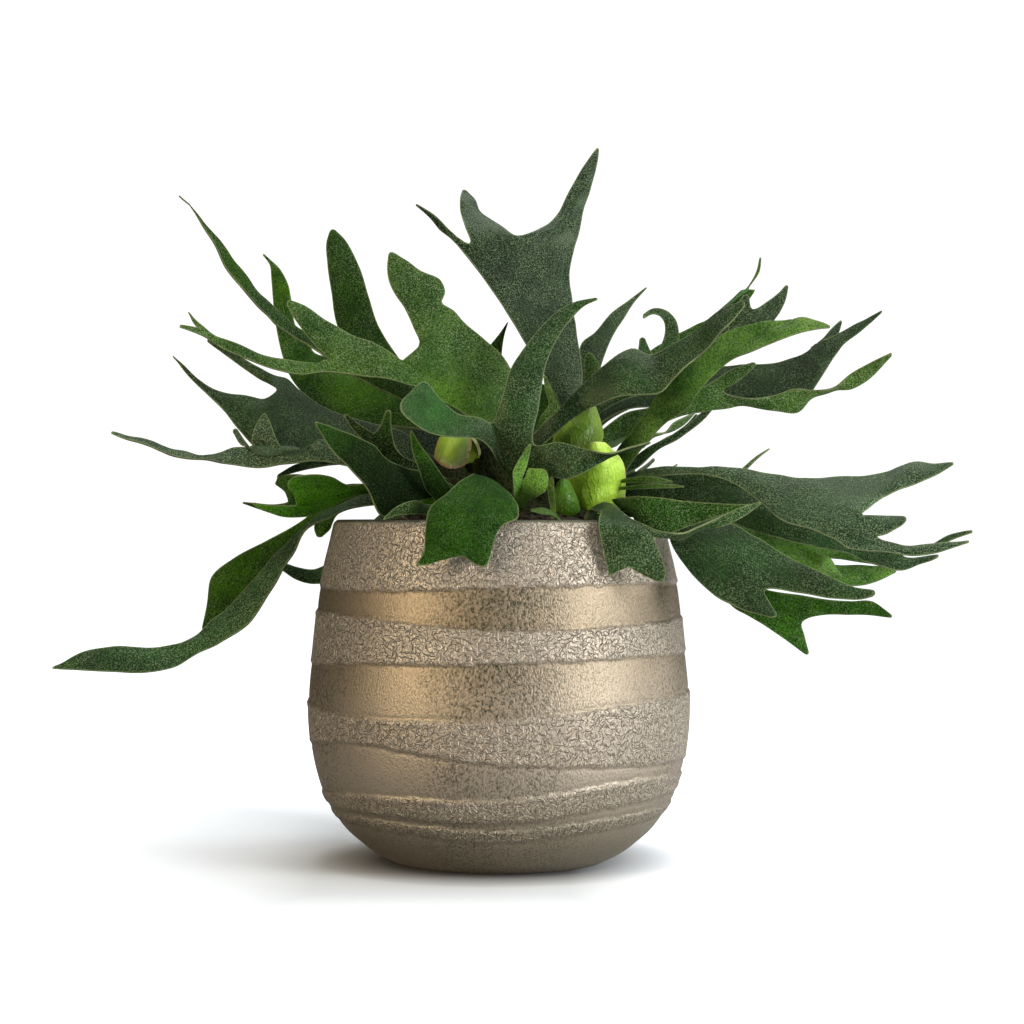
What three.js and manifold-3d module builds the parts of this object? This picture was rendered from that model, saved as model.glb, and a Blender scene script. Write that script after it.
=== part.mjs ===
// Potted common staghorn fern: a bellied glazed pot, its potting mix, and one plant of
// forked antler fronds and rounded shield fronds on a short creeping stem.
//
// Millimetres, +Z up. The origin is on the table under the middle of the pot, and the
// front is the -Y side.

import * as THREE from "three";
import { mergeVertices } from "three/addons/utils/BufferGeometryUtils.js";
import Module from "manifold-3d";

const wasm = await Module();
wasm.setup();

// Pot. The rough bands stand out from the wall by the relief.
const POT_HEIGHT = 179;
const WALL = 6.5;
const FLOOR = 9;
const POT_SEGMENTS = 36;
const CURVE_SAMPLES = 240;
const RELIEF = 0.7;
const STEP_SLOPE = 0.8;
const LIP_ROUND = 1.5;

// Heights of the pot's plain rings: foot, neck and inside
const FOOT_RINGS = [0, 3, 8, 14];
const NECK_RINGS = [158, 170, 176];
const INSIDE_RINGS = [160, 120, 80, 45, 22];

// Outer wall of the pot: radius, height
const POT_OUTLINE = [
  [56, 0], [66, 5], [74.4, 11.5], [81.4, 18], [87.8, 27], [93, 37], [98.4, 58], [100.2, 84],
  [97.8, 112], [93.9, 145], [88.7, 168], [86.2, POT_HEIGHT],
];

// Edges of the rough bands, from the top down. Each has its heights on the wall at every
// 45 degrees, counted from the back (-180) through the left side (-90) and the front (0).
const BAND_EDGES = [
  { step: -1, heights: [148, 146, 144.8, 143.3, 146, 146.9, 146.2, 147] },
  { step: 1, heights: [128, 131, 132, 130, 124.8, 126.2, 128.3, 126] },
  { step: -1, heights: [107, 105, 103.6, 106.8, 108.9, 110.6, 109.7, 108] },
  { step: 1, heights: [87, 88, 84.7, 80.2, 81.3, 86.9, 89.4, 90] },
  { step: -1, heights: [58, 60, 61.8, 67.5, 59.7, 56.4, 54.4, 55] },
  { step: 1, heights: [41, 38, 36.8, 41.1, 41.6, 48.1, 46.3, 43] },
  { step: -1, heights: [34, 33, 32.1, 31.6, 29.8, 36.6, 38.2, 37] },
  { step: 1, heights: [28, 27.5, 27.4, 28.1, 25.7, 30.2, 31.4, 31] },
  { step: -1, heights: [22, 23, 23.4, 23.6, 19.6, 24.6, 26, 25] },
];

// Potting mix. Its top has rings at these shares of its width.
const SOIL_DROP = 6;
const SOIL_CROWN = 4;
const SOIL_GAP = 0.35;
const CRUMB = 1.1;
const SOIL_RINGS = [0.88, 0.72, 0.54, 0.36, 0.18];

// Blades: thickness of the blade and of its stalk, which thins over the stalk's reach. The
// sockets are the spaces that the stem and the mix leave round the roots.
const BLADE = 0.9;
const STALK = 2.4;
const STALK_REACH = 60;
const SOCKET_GAP = 0.5;
const STEM_GAP = 0.35;
const SOCKET_REACH = 36;
const ARCH = 0.06;
const ROUND_TIP = 0.35;
const UP = new THREE.Vector3(0, 0, 1);

// The blades' outlines are drawn as seen by an eye in front of the pot. Their heights are
// read from a line this far under the table.
const EYE = new THREE.Vector3(6.9, -1250, 183);
const DRAWING_DROP = 8.2;

const FINISHES = {
  glaze: { color: 0x93826a, roughness: 0.42, metalness: 0.55 },
  mix: { color: 0x3a2a1e, roughness: 0.95, metalness: 0 },
  stem: { color: 0x5b4a2e, roughness: 0.9, metalness: 0 },
  shield: { color: 0x7fa838, roughness: 0.55, metalness: 0 },
  grey: { color: 0x2f4a34, roughness: 0.6, metalness: 0 },
  dark: { color: 0x22401f, roughness: 0.55, metalness: 0 },
  fresh: { color: 0x3c6d1d, roughness: 0.5, metalness: 0 },
  pale: { color: 0x5c8437, roughness: 0.6, metalness: 0 },
};

// Creeping stem: each lump's middle on the drawing with its depth, and its half sizes
const LUMP_SEGMENTS = 10;
const LUMP_RINGS = 6;
const STEM_LUMPS = [
  { at: [51, 200, 5], size: [11, 13.5, 26] },
  { at: [43, 222, 15], size: [10, 20, 24] },
  { at: [8, 196, 6], size: [20, 18, 30] },
  { at: [-2, 212, 10], size: [14, 16, 22] },
  { at: [-24, 192, 4], size: [16, 16, 24] },
  { at: [-28, 206, 2], size: [12, 12, 16] },
  { at: [10, 186, 6], size: [60, 28, 14] },
];

// A blade is a chain of rows from its root to its tip. A row is
// [left x, left height, right x, right height, depth, how much deeper its right end lies],
// and left is the left hand of one who follows the blade out with its drawn face up.
// Where a blade forks, its last row bends through the forks, and a lobe starts between
// each two of them.
const FRONDS = [
  {
    name: "frond_top",
    finish: "grey",
    rows: [
      [37, 230, 43, 230, 6], [35, 236, 41, 236, 8], [33, 246, 42, 247, 10, 2], [26, 260, 44, 262, 14, 5],
      [15, 279, 42, 280, 21, 9], [2, 300, 38.5, 300, 29, 14], [-12, 320, 37.5, 320, 38, 20],
      [-21, 331, 39.5, 330, 43, 22],
    ],
    forks: [[-16, 332.5, 34], [9, 335.5, 44]],
    lobes: [
      [[-30, 340, -25, 339.5, 32], [-37, 347, -33, 347.5, 27], [-44, 353.5, -43, 354, 20]],
      [
        [-18, 342, -1, 343.5, 42, 5], [-20.5, 351, -10, 350.5, 47, 3], [-20.5, 358, -13, 357, 52, 2],
        [-19.5, 361, -17, 361, 55],
      ],
      [
        [24, 342, 42.5, 339, 54, 6], [31, 349, 45, 350, 59, 5], [36.5, 360, 48, 361, 64, 4],
        [43, 371, 50.5, 371, 70, 3], [51.5, 383, 52.5, 382.5, 78],
      ],
    ],
  },
  {
    name: "frond_front_upright",
    finish: "dark",
    tilt: 0.2,
    rows: [
      [9, 196, 17, 196, -8], [9, 203, 17, 203, -17], [6, 209, 20, 207, -26], [0, 218, 24, 208.5, -36],
      [-9, 229, 28, 210, -46],
    ],
    forks: [[-3, 240, -46], [19.5, 229, -46]],
    lobes: [
      [
        [-15, 230.3, -10, 241, -50], [-24, 230.6, -22, 243.5, -54], [-33, 231.8, -31, 251.5, -57],
        [-42, 235.5, -40, 260.5, -62], [-49, 241, -48.5, 253.5, -66],
      ],
      [
        [2, 252, 21, 247, -48], [6, 266, 24.5, 268, -47], [14, 279, 31, 283, -45],
        [24, 291, 38, 293, -43], [36, 301, 45, 300, -42], [51, 304.3, 52, 303.3, -42],
      ],
      [
        [32, 228, 36, 208.5, -50], [44, 225, 47, 213, -53], [57, 223, 58, 219.8, -56, 8],
        [70, 226.5, 70, 224.5, -58, 6], [80, 228.3, 80, 227.3, -60],
      ],
    ],
  },
  {
    name: "frond_young_front",
    finish: "pale",
    rows: [
      [9, 189, 13, 189, -13], [9, 193, 13, 193, -24], [8, 197, 15, 197, -40],
      [7.5, 206, 22, 200.5, -58],
    ],
    forks: [[13, 209, -57]],
    lobes: [
      [[7.5, 213, 14.5, 214.5, -60], [11, 219.5, 16, 220.5, -62], [15.8, 227, 17, 227, -64]],
      [[16, 214.5, 25.5, 204, -60], [19.5, 214, 26, 209, -61]],
    ],
  },
  {
    name: "frond_front_hanging",
    finish: "fresh",
    rows: [
      [3, 194, -6, 195, -6], [3, 199, -7, 200, -18], [3, 203, -11, 205, -45], [5, 202, -15, 210.5, -72],
      [10.5, 194, -29, 199, -88], [9.5, 188, -37, 191, -95], [2, 184, -38.5, 182, -98],
      [-3, 175, -39, 172, -98],
    ],
    forks: [[-20, 168, -99]],
    lobes: [
      [[-4.5, 169, -15, 165.5, -99], [-6.5, 164, -11, 163.5, -99]],
      [[-31, 166, -40, 169, -99], [-37, 164, -43, 164, -99]],
    ],
  },
  {
    name: "frond_front_rim",
    finish: "pale",
    rows: [
      [-20, 188, -21, 193, -10], [-22, 191, -24, 197, -24], [-36, 189.5, -38, 195.5, -60],
      [-46, 190, -47, 197, -75], [-54, 189.5, -55, 193.5, -80], [-61, 187, -60.5, 188.5, -84],
    ],
  },
  {
    name: "frond_left_mid",
    finish: "dark",
    tilt: 0.35,
    rows: [
      [-24, 195, -22, 203, -8], [-30, 199, -28, 207, -16], [-42, 197, -40, 212, -26],
      [-55, 192, -52, 215.3, -40], [-63, 190, -61, 220, -54], [-69, 203, -67, 226.5, -60],
      [-78, 213.5, -76, 231.3, -66], [-88, 223, -86, 235.3, -72], [-97, 237.5, -96.5, 239, -78],
    ],
  },
  {
    name: "frond_left_narrow",
    finish: "fresh",
    rows: [
      [-31, 190, -26, 194, -12.5], [-33, 197, -25, 203, -24], [-39, 204, -29, 209, -34],
      [-42.5, 214, -35, 218, -42], [-46, 224, -41, 226, -46], [-47, 233.5, -46, 234, -50],
    ],
  },
  {
    name: "frond_left_antler_small",
    finish: "fresh",
    tilt: 0.4,
    rows: [
      [-30, 203, -26, 208, -8], [-38, 206, -34, 212, -16], [-50, 212, -45, 218, -22],
      [-62, 220, -52, 222, -27], [-72, 229, -56, 230, -31],
    ],
    forks: [[-66, 233, -31]],
    lobes: [
      [[-78, 236, -73, 236.5, -34], [-82, 242, -80.5, 242.5, -36]],
      [[-62.5, 236, -57, 235.5, -32], [-59.5, 244, -57.5, 244, -33]],
    ],
  },
  {
    name: "frond_left_big",
    finish: "dark",
    tilt: 0.7,
    rows: [
      [-28, 207, -28, 216, 3], [-38, 212, -38, 222, 2], [-50, 218, -50, 232.5, 2],
      [-65, 221, -65, 237.5, 2], [-82, 224, -84, 243.5, 1], [-97, 223, -99, 250.5, 0],
      [-112, 222, -111, 261, -2], [-128, 225, -118, 263.5, -4],
    ],
    forks: [[-118, 254.5, -4]],
    lobes: [
      [
        [-138, 235, -124, 251, -6], [-145, 244, -137, 253, -9], [-153, 252, -150, 255.5, -12],
        [-163, 261.5, -159, 261.5, -15], [-172.5, 273.5, -172, 274.5, -20],
      ],
      [[-127, 261.5, -128, 268, -2], [-140, 270.5, -139, 274, 0], [-154, 281, -153.5, 282.5, 3]],
    ],
  },
  {
    name: "frond_left_felty",
    finish: "grey",
    tilt: 0.5,
    rows: [
      [-29, 200, -29, 206, -4], [-40, 203, -40, 211, -6], [-60, 209, -60, 217, -12],
      [-80, 215, -80, 225, -18], [-95, 218, -94, 230, -22], [-130, 215.3, -112, 219.5, -24],
    ],
    forks: [[-134, 225, -24], [-130.5, 224, -24]],
    lobes: [
      [
        [-142, 216.3, -142, 225.5, -26], [-152, 218.2, -152, 221.8, -28, 5],
        [-165, 220.5, -165, 223, -30, 6], [-180, 223.5, -180, 226, -33, 5],
        [-192, 227, -192, 229.5, -36, 4], [-205, 232.5, -204.5, 233.5, -40],
      ],
      [[-136, 226.5, -132.5, 227, -24], [-141, 233.5, -138.5, 235.3, -22]],
      [[-131, 231, -118, 231, -30], [-128.5, 238, -121, 239, -31], [-125.5, 242.5, -123, 243, -32]],
    ],
  },
  {
    name: "frond_left_dark_strap",
    finish: "dark",
    tilt: 0.6,
    rows: [
      [-29, 202, -29, 208, 7], [-42, 204, -42, 210, 7], [-62, 212, -62, 218, 8], [-82, 216.3, -82, 221.5, 5],
      [-97, 214.8, -97, 219, 0], [-108, 212, -107, 216.3, -6], [-117.3, 209.3, -116.8, 210.8, -12],
    ],
  },
  {
    name: "frond_light_green",
    finish: "fresh",
    tilt: 0.45,
    rows: [
      [8, 216, 14, 221, -1], [6, 224, 13, 229, -4], [0, 233, 14, 242, -8], [-12, 240, 10, 256, -11],
      [-28, 249, 4, 270.5, -14], [-45, 258, -20, 293, -16],
    ],
    forks: [[-51, 270.5, -16]],
    lobes: [
      {
        rows: [[-60, 261.5, -60, 277, -20], [-75, 263.5, -74, 283.5, -22], [-92, 265.5, -86, 289.5, -24]],
        forks: [[-91, 271.5, -24]],
        lobes: [
          {
            rows: [
              [-104, 264, -103, 271.3, -26], [-118, 266.5, -118, 273.3, -29],
              [-132, 271.5, -132, 277.7, -32], [-147, 278, -146, 282.5, -35], [-154, 282.5, -153, 286, -37],
            ],
            forks: [[-158, 287.5, -38]],
            lobes: [
              [[-162, 286, -161, 288.2, -40], [-169, 288.6, -168.7, 289.5, -43]],
              [[-160, 289, -158.5, 290.5, -38], [-164.5, 296.5, -164, 297.2, -38]],
            ],
          },
          [
            [-97, 279, -93, 293.5, -25], [-104, 287.5, -100, 298, -27], [-109.5, 295.5, -106, 301.5, -28],
            [-112, 300.5, -110, 303, -29],
          ],
        ],
      },
      [
        [-42.3, 278.5, -24, 297, -17], [-45, 288, -30.5, 301.5, -18], [-50, 299, -28.8, 308, -19],
        [-54.5, 305.5, -32, 314, -20], [-58, 313, -41, 318, -21], [-59, 321, -49, 324, -22],
        [-58.3, 327, -55.5, 328, -23],
      ],
    ],
  },
  {
    name: "frond_dark_finger",
    finish: "dark",
    tilt: 0.3,
    rows: [
      [-6, 218, 2, 220, 15], [-12, 224, -2, 228, 18], [-34, 240, -22, 246, 27], [-58, 256, -44, 262, 36],
      [-80, 275, -55, 275, 40], [-86, 291, -63, 288, 42], [-88.5, 308, -69, 305, 44],
      [-90.5, 322, -74.5, 322, 47], [-91, 333, -81, 334, 50], [-89.5, 339, -86.5, 340, 52],
    ],
  },
  {
    name: "frond_long_thin",
    finish: "fresh",
    tilt: 0.8,
    rows: [
      [-2, 215, 5, 220, 5], [-6, 222, 0, 228, 6], [-30, 238, -26, 245, 6], [-60, 255, -56, 262, 6],
      [-85, 268, -80, 275, 6], [-102, 280, -99, 284, 6, 4], [-115, 289, -112, 295, 4, 6],
      [-127, 299.5, -123, 304, 0, 8], [-138, 311.5, -133, 316, -4, 8],
      [-148, 326.5, -143.5, 328.5, -8, 6], [-156, 341, -152.5, 339.5, -10, 4],
      [-162, 350.5, -160.5, 350.3, -12], [-169, 358.3, -168.5, 358.8, -14],
    ],
  },
  {
    name: "frond_left_inner",
    finish: "dark",
    tilt: 0.6,
    rows: [
      [-4, 222, -4, 230, 11], [-10, 226, -10, 234, 12], [-30, 232, -28, 246, 15], [-50, 236, -48, 258, 18],
      [-75, 238.5, -70, 266, 22], [-98, 249, -88, 272, 26], [-110, 262, -98, 276, 30],
      [-115, 275, -101, 283, 34], [-118, 289, -107.5, 290, 38], [-119.5, 303, -109.8, 303, 42],
      [-120.5, 314, -112, 313, 44], [-121.5, 322, -117, 321.5, 46], [-125, 327, -124, 327.7, 48],
    ],
  },
  {
    name: "frond_left_low_bright",
    finish: "fresh",
    tilt: -0.5,
    rows: [
      [-30, 193, -30, 199, -8], [-40, 196, -40, 202, -12], [-55, 199, -55, 205, -20],
      [-70, 200.5, -70, 206, -28], [-80, 198, -80, 205.5, -32], [-90, 193, -88, 209.5, -35],
      [-103, 189.3, -104, 210.8, -38],
    ],
    forks: [[-107, 196.5, -38]],
    lobes: [
      [[-112, 189.6, -112, 195, -41], [-122, 191.7, -121, 195.2, -44], [-130, 195.6, -129.7, 196.4, -47]],
      [[-107.5, 201, -108.5, 210, -38], [-110.5, 204.5, -110.5, 207.5, -38]],
    ],
  },
  {
    name: "frond_left_low_long",
    finish: "dark",
    tilt: 0.5,
    rows: [
      [-28, 190, -28, 197, -2], [-38, 193, -38, 200, -4], [-60, 195, -60, 202, -8],
      [-80, 192.5, -80, 197, -12, 6], [-92, 186.5, -94, 190, -15, 10], [-101, 181, -104.5, 182, -18, 12],
      [-110, 166.5, -117, 170.5, -22, 10], [-120, 150.5, -131, 155.5, -26, 8],
      [-133, 132, -144, 141, -30, 6], [-147, 122.5, -155, 131, -34, 3], [-160, 116, -163, 124.5, -38],
      [-172, 109, -174, 120.3, -42], [-186, 106.2, -186, 119.3, -46], [-203, 106.7, -203, 120, -50],
      [-219, 107.6, -219, 117.8, -54], [-236, 108.3, -235.5, 109.8, -58],
    ],
  },
  {
    name: "frond_left_low_back",
    finish: "fresh",
    tilt: -0.4,
    rows: [
      [-28, 192, -28, 198, 9], [-38, 196, -38, 203, 10], [-60, 199, -60, 206, 10], [-78, 195, -78, 201, 9],
      [-86, 189, -89, 198, 8],
    ],
    forks: [[-91, 190, 8]],
    lobes: [
      [[-88, 185, -97, 186, 9], [-90, 181.5, -97.5, 181.5, 10], [-94, 179, -96, 179, 10]],
      [
        [-103, 181.5, -105, 186, 6], [-113, 171, -124, 175.5, 4], [-121, 160, -140, 167, 4],
        [-128, 150, -152, 157, 2], [-138, 141, -154, 144, 0], [-150, 128, -157, 130, -4],
      ],
    ],
  },
  {
    name: "frond_behind_pot",
    finish: "dark",
    tilt: 0.3,
    rows: [
      [0, 194, 0, 200, 14], [-8, 198, -8, 205, 24], [-20, 202, -22, 209, 50], [-40, 198, -42, 206, 78],
      [-62, 178, -66, 188, 96], [-80, 158, -84, 168, 102], [-98, 153, -98, 160.3, 100],
      [-108, 155.5, -108, 161.5, 94], [-117, 162, -116, 165, 88],
    ],
  },
  {
    name: "frond_right_front",
    finish: "grey",
    tilt: 0.7,
    rows: [
      [10, 218, 16, 214, -8], [14, 226, 19, 222, -12], [21, 235, 27, 230, -15],
      [33, 246.5, 42, 242.5, -19], [46, 259.5, 54, 248.5, -23], [59, 270.5, 66, 252.7, -26],
      [70, 277.2, 75, 253.3, -27], [81, 274.8, 85, 254.5, -30], [90, 279, 92, 261.5, -32],
      [101, 285.5, 103, 271.5, -34], [111, 293, 112, 279, -36], [120, 299, 120.5, 288.5, -38],
      [128.5, 302.3, 129.8, 299.5, -40],
    ],
  },
  {
    name: "frond_hook",
    finish: "dark",
    tilt: 0.4,
    rows: [
      [42, 232, 47, 232, 16.5], [42, 238, 48, 238, 16.5], [56, 251, 62, 246, 17],
      [70, 265, 78, 259, 18], [73, 272, 92, 272, 17],
    ],
    forks: [[82, 274, 17]],
    lobes: [
      [[74, 278, 79, 278, 17], [74.5, 282, 77, 282.5, 17]],
      [
        [88, 287, 95, 286.5, 15], [87.3, 291.8, 93, 293, 14], [85, 294.7, 88.5, 297.3, 12],
        [81, 295.6, 82, 298, 11], [76, 293.3, 76.3, 294.5, 10],
      ],
    ],
  },
  {
    name: "frond_right_long",
    finish: "grey",
    tilt: 0.6,
    rows: [
      [52, 203, 55, 197, 9.5], [58, 206, 62, 201, 9.5], [62, 222, 68, 214, 9], [70, 233.5, 79, 228.5, 0],
      [78, 244, 89, 238.8, -6], [84, 254, 99, 245.5, -15], [93, 264.5, 108, 257.5, -20],
      [107, 275, 121, 270, -22], [124, 288, 134, 276.5, -24],
    ],
    forks: [[143, 287.5, -24]],
    lobes: [
      [[138, 291.2, 146, 288.5, -26], [154.5, 293.2, 155, 291.8, -28]],
      [
        [149, 290.5, 147, 281.5, -26], [160, 294, 158, 285.5, -28], [168, 292.3, 167.5, 287.5, -30],
        [175, 289.2, 174.8, 288.3, -32],
      ],
    ],
  },
  {
    name: "frond_right_dark",
    finish: "dark",
    tilt: 0.6,
    rows: [
      [46, 236, 46, 231, 11], [54, 243, 54, 238, 10], [66, 250, 67, 245, 10], [80, 254, 82, 247, 14],
      [100, 262, 104, 249, 20], [120, 268, 124, 249.5, 22], [136, 268.7, 140, 249, 23],
      [150, 270, 152, 250, 24], [166, 277.5, 165, 254.5, 24],
    ],
    forks: [[172, 281, 25]],
    lobes: [
      [[175, 286.5, 178, 283.5, 27], [180.5, 292.3, 181.3, 291.3, 30]],
      [
        [178, 284.3, 174, 267.5, 24], [186, 288.3, 181, 278.5, 23], [194, 293, 191, 286.3, 22],
        [202.3, 297.5, 202.5, 296.5, 21],
      ],
    ],
  },
  {
    name: "frond_right_pale",
    finish: "pale",
    tilt: -0.5,
    rows: [
      [46, 226, 47, 220, 9], [54, 234, 55, 227, 8], [66, 243, 66, 231, 6], [80, 246.5, 82, 236.5, 4],
      [98, 252.5, 100, 242.5, 2], [113, 260, 118, 245.5, 1],
    ],
    forks: [[119, 254.5, 1]],
    lobes: [
      [[123, 266.5, 127.5, 260.5, 0], [134, 270.3, 135.8, 268.5, -2]],
      [
        [131, 250.5, 131, 246, -1, 4], [145, 252.5, 146, 244.3, -2], [156, 256, 158, 243.5, -3],
        [167, 254.8, 166, 250.5, -4, 5], [177, 257, 178, 254.8, -5, 5], [187, 265, 188, 257, -6],
        [197, 270.5, 197, 262.5, -8], [207.3, 275.5, 207.5, 274, -10],
      ],
    ],
  },
  {
    name: "frond_right_back_light",
    finish: "fresh",
    tilt: 0.5,
    rows: [
      [38, 236, 43, 233, 25.5], [43, 245, 49, 242, 28], [62, 262, 70, 256, 33], [84, 279, 92, 272, 37],
      [102, 288.5, 110, 280, 41], [120, 299.5, 128, 297, 44],
    ],
    forks: [[129.5, 308.5, 45]],
    lobes: [
      [[131.5, 311.5, 133.3, 311.5, 46], [136, 318.5, 138, 318.5, 48], [137.8, 325.8, 139, 325.5, 50]],
      [[131.5, 309.8, 132.5, 303.5, 45], [134.5, 309.6, 135.3, 307.5, 45]],
    ],
  },
  {
    name: "frond_right_back_dark",
    finish: "dark",
    tilt: 0.5,
    rows: [
      [44, 232, 48, 228, 20.5], [50, 240, 54, 236, 22], [72, 256, 78, 250, 25], [95, 272, 100, 262, 28],
      [112, 285, 118, 274, 29], [122, 293, 138, 285, 30],
    ],
    forks: [[135, 298, 30]],
    lobes: [
      [[127, 301.5, 133, 299.5, 29], [129.5, 305.3, 132, 304.5, 28]],
      [[141, 301.5, 146, 293, 31], [148, 307, 150.5, 300.5, 32], [151.5, 311.3, 153.3, 310.5, 34]],
    ],
  },
  {
    name: "frond_behind_top",
    finish: "dark",
    rows: [
      [38, 228, 44, 226, 28], [36, 238, 43, 236, 32], [40, 255, 50, 252, 38, 3], [42.5, 270, 54, 268, 44, 5],
      [44, 281, 58, 280, 49, 6], [51, 286.5, 62, 288, 52, 6], [60, 297, 66, 294.5, 56, 4],
      [69, 303.3, 71, 301.5, 60], [77.5, 310, 78.3, 309.5, 64],
    ],
  },
  {
    name: "frond_small_light",
    finish: "pale",
    rows: [
      [41.5, 233, 45, 232, 3.5], [42, 246, 46, 245, 5], [45.5, 256, 49.5, 255, -2],
      [45.5, 264, 51, 262.5, -6], [45, 270.5, 53, 269.5, -7], [46, 274.5, 49.5, 274.5, -8],
    ],
  },
  {
    name: "frond_young_stalk",
    finish: "pale",
    rows: [
      [12, 220, 17, 218, 4], [18, 231, 23, 229, 2], [22, 241, 28, 239, 2], [26.5, 248, 32, 245, 3],
      [24.5, 256, 29, 252.5, 3], [23.5, 263, 24.8, 263, 4],
    ],
  },
  {
    name: "frond_right_small_pair",
    finish: "dark",
    tilt: 0.5,
    rows: [
      [54, 206, 56, 202, 17], [62, 213, 63, 209, 17.5], [72, 220, 74, 215, 15.5], [80, 226, 84, 223.8, 13],
      [93, 233, 96, 230.5, 11],
    ],
    forks: [[98.5, 235.6, 10]],
    lobes: [
      [[98, 236.5, 100.5, 237.2, 10], [104, 242.3, 105, 241.8, 10]],
      [[101, 238, 103, 235.5, 10], [107, 243, 109, 240.5, 10], [111.8, 245.8, 112.6, 244.8, 10]],
    ],
  },
  {
    name: "frond_right_large",
    finish: "grey",
    tilt: 0.7,
    rows: [
      [50, 204, 50, 199, 4], [62, 208, 62, 203, 4], [69, 210.5, 69, 205.5, 3],
      [78, 213.5, 78, 208.5, -10], [90, 215, 91, 210.5, -19], [105, 215.2, 108, 211, -26],
      [120, 214.6, 124, 206.5, -30], [134, 212.8, 139, 196, -34],
      [149, 210, 150, 186.5, -38], [165, 209, 163, 182.5, -42], [182, 210, 177, 177, -46],
      [202, 211.5, 186, 171.5, -48],
    ],
    forks: [[191.5, 188, -48], [200, 176.5, -48]],
    lobes: [
      [
        [213, 215.3, 207, 200.5, -50], [222, 218, 219, 205.3, -52], [231, 216.8, 230, 210, -54],
        [240, 217, 240, 215.8, -56],
      ],
      [[203, 189.3, 205, 179.5, -52], [214, 188.8, 213, 184, -54]],
      [[210, 174.6, 205, 169.8, -50], [228, 174.8, 226, 169, -52], [248.3, 175.8, 248.3, 174.8, -55]],
    ],
  },
  {
    name: "frond_right_large_back",
    finish: "dark",
    tilt: 0.5,
    rows: [
      [50, 201, 50, 194, 11.8], [62, 206, 62, 199, 11.8], [76, 209, 78, 201, 5], [92, 210, 98, 198, -4],
      [108, 209.5, 116, 189, -9], [124, 206, 134, 181.5, -12], [140, 198, 150, 177, -14],
      [160, 188, 170, 172.5, -16], [178, 179, 185, 169, -18], [196, 175, 198, 163, -20],
    ],
    forks: [[212, 170, -21]],
    lobes: [
      [[228, 174.5, 230, 171.5, -23], [240, 180, 241, 177, -25], [250, 181, 250.3, 180, -27]],
      [[214, 168, 208, 160.5, -22], [232, 169, 226, 164.3, -23]],
    ],
  },
  {
    name: "frond_right_between",
    finish: "dark",
    tilt: 0.3,
    rows: [
      [50, 198, 50, 192.5, 16], [64, 199, 64, 193, 15.5], [80, 199.5, 80, 192.5, 11],
      [96, 197.5, 98, 187, 5],
      [112, 192, 116, 180, 1], [130, 187, 134, 172, -2], [146, 181, 150, 166, -5], [160, 175, 163, 160, -8],
    ],
    forks: [[168, 168, -8], [170, 163.5, -8]],
    lobes: [
      [[178, 171.5, 179, 166.5, -9], [195, 168, 195, 164, -11], [210, 164, 210, 163, -13]],
      [[174, 168, 169, 162.5, -15], [179, 161, 176, 158.5, -20], [181.5, 157.5, 180.5, 157, -22]],
      [
        [180, 162.5, 174, 156, -8], [192, 163, 187, 152, -9], [203, 162, 200, 154.5, -10],
        [210, 160, 209.5, 159, -11],
      ],
    ],
  },
  {
    name: "frond_right_low_front",
    finish: "dark",
    tilt: 0.45,
    rows: [
      [50, 197, 50, 190, 4], [62, 198, 62, 191, 3.5], [69, 198, 69, 191, 2],
      [78, 198, 78, 190.5, -18], [88, 197.5, 88, 188.5, -32],
      [100, 194.3, 92, 173, -44], [115, 189, 101, 159.5, -52], [131, 180.5, 111, 149.5, -58],
      [147, 171, 120, 143.5, -62],
    ],
    forks: [[141, 149.5, -62]],
    lobes: [
      [
        [163, 162, 158, 148.5, -66], [178, 154.5, 175, 145.5, -70], [190, 151, 192, 145, -73],
        [198, 150, 197.5, 146.5, -75],
      ],
      [[144, 142.5, 131, 139, -64], [146.8, 138, 143.5, 135.5, -65]],
    ],
  },
  {
    name: "frond_right_low_bright",
    finish: "fresh",
    tilt: -0.3,
    rows: [
      [50, 194, 50, 188.7, 10], [64, 194, 64, 188.7, 9], [80, 193, 80, 188.8, 0], [88, 192.5, 88, 188.3, -7],
      [97, 185.5, 94, 177.5, -16], [105, 178, 100, 168, -24], [120, 164, 112, 152, -34],
      [136, 152, 126, 140, -42],
      [160, 147, 142, 130, -50],
    ],
    forks: [[161, 133, -50]],
    lobes: [
      [
        [172, 145, 172, 136.3, -54], [186, 143.8, 187, 136.5, -58], [198, 143.5, 199, 136, -61],
        [207.5, 137, 207.3, 135.3, -64],
      ],
      [[162, 126, 151, 123.5, -52], [164.3, 117, 161, 116, -54]],
    ],
  },
  {
    name: "frond_right_front_small",
    finish: "grey",
    rows: [
      [50, 187, 44, 184, -15], [53, 194, 47, 190.5, -24], [60, 195, 53, 191, -45], [66, 190, 54, 190, -66],
      [84, 181.5, 53, 182, -80],
    ],
    forks: [[82, 177, -80]],
    lobes: [
      [
        [96, 180.8, 95, 177.5, -78, 4], [110, 185.5, 110, 183, -76, 6], [122, 191, 121, 184.8, -75],
        [131, 194.5, 131, 190.3, -74], [138, 196.5, 138, 195.3, -73],
      ],
      {
        rows: [[84.5, 171.5, 55, 173, -80], [87.5, 161.5, 57, 165, -80]],
        forks: [[68, 162.5, -80]],
        lobes: [
          [[88, 159, 76, 158.3, -81], [87, 155.3, 83, 155.3, -81]],
          [[63, 161.5, 58, 160, -80], [59.5, 158.5, 58, 158, -80]],
        ],
      },
    ],
  },
  {
    name: "frond_young_back",
    finish: "fresh",
    rows: [
      [3, 216, 8, 216, 19], [2, 228, 7, 228, 22], [-3, 246, 4, 246, 28], [-7, 262, 2, 263, 33],
      [-8, 272, 1.5, 274, 36], [-4, 281, 3, 285, 38], [3.8, 291.5, 5, 292, 40],
    ],
  },
  {
    name: "frond_far_upright_right",
    finish: "dark",
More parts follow.
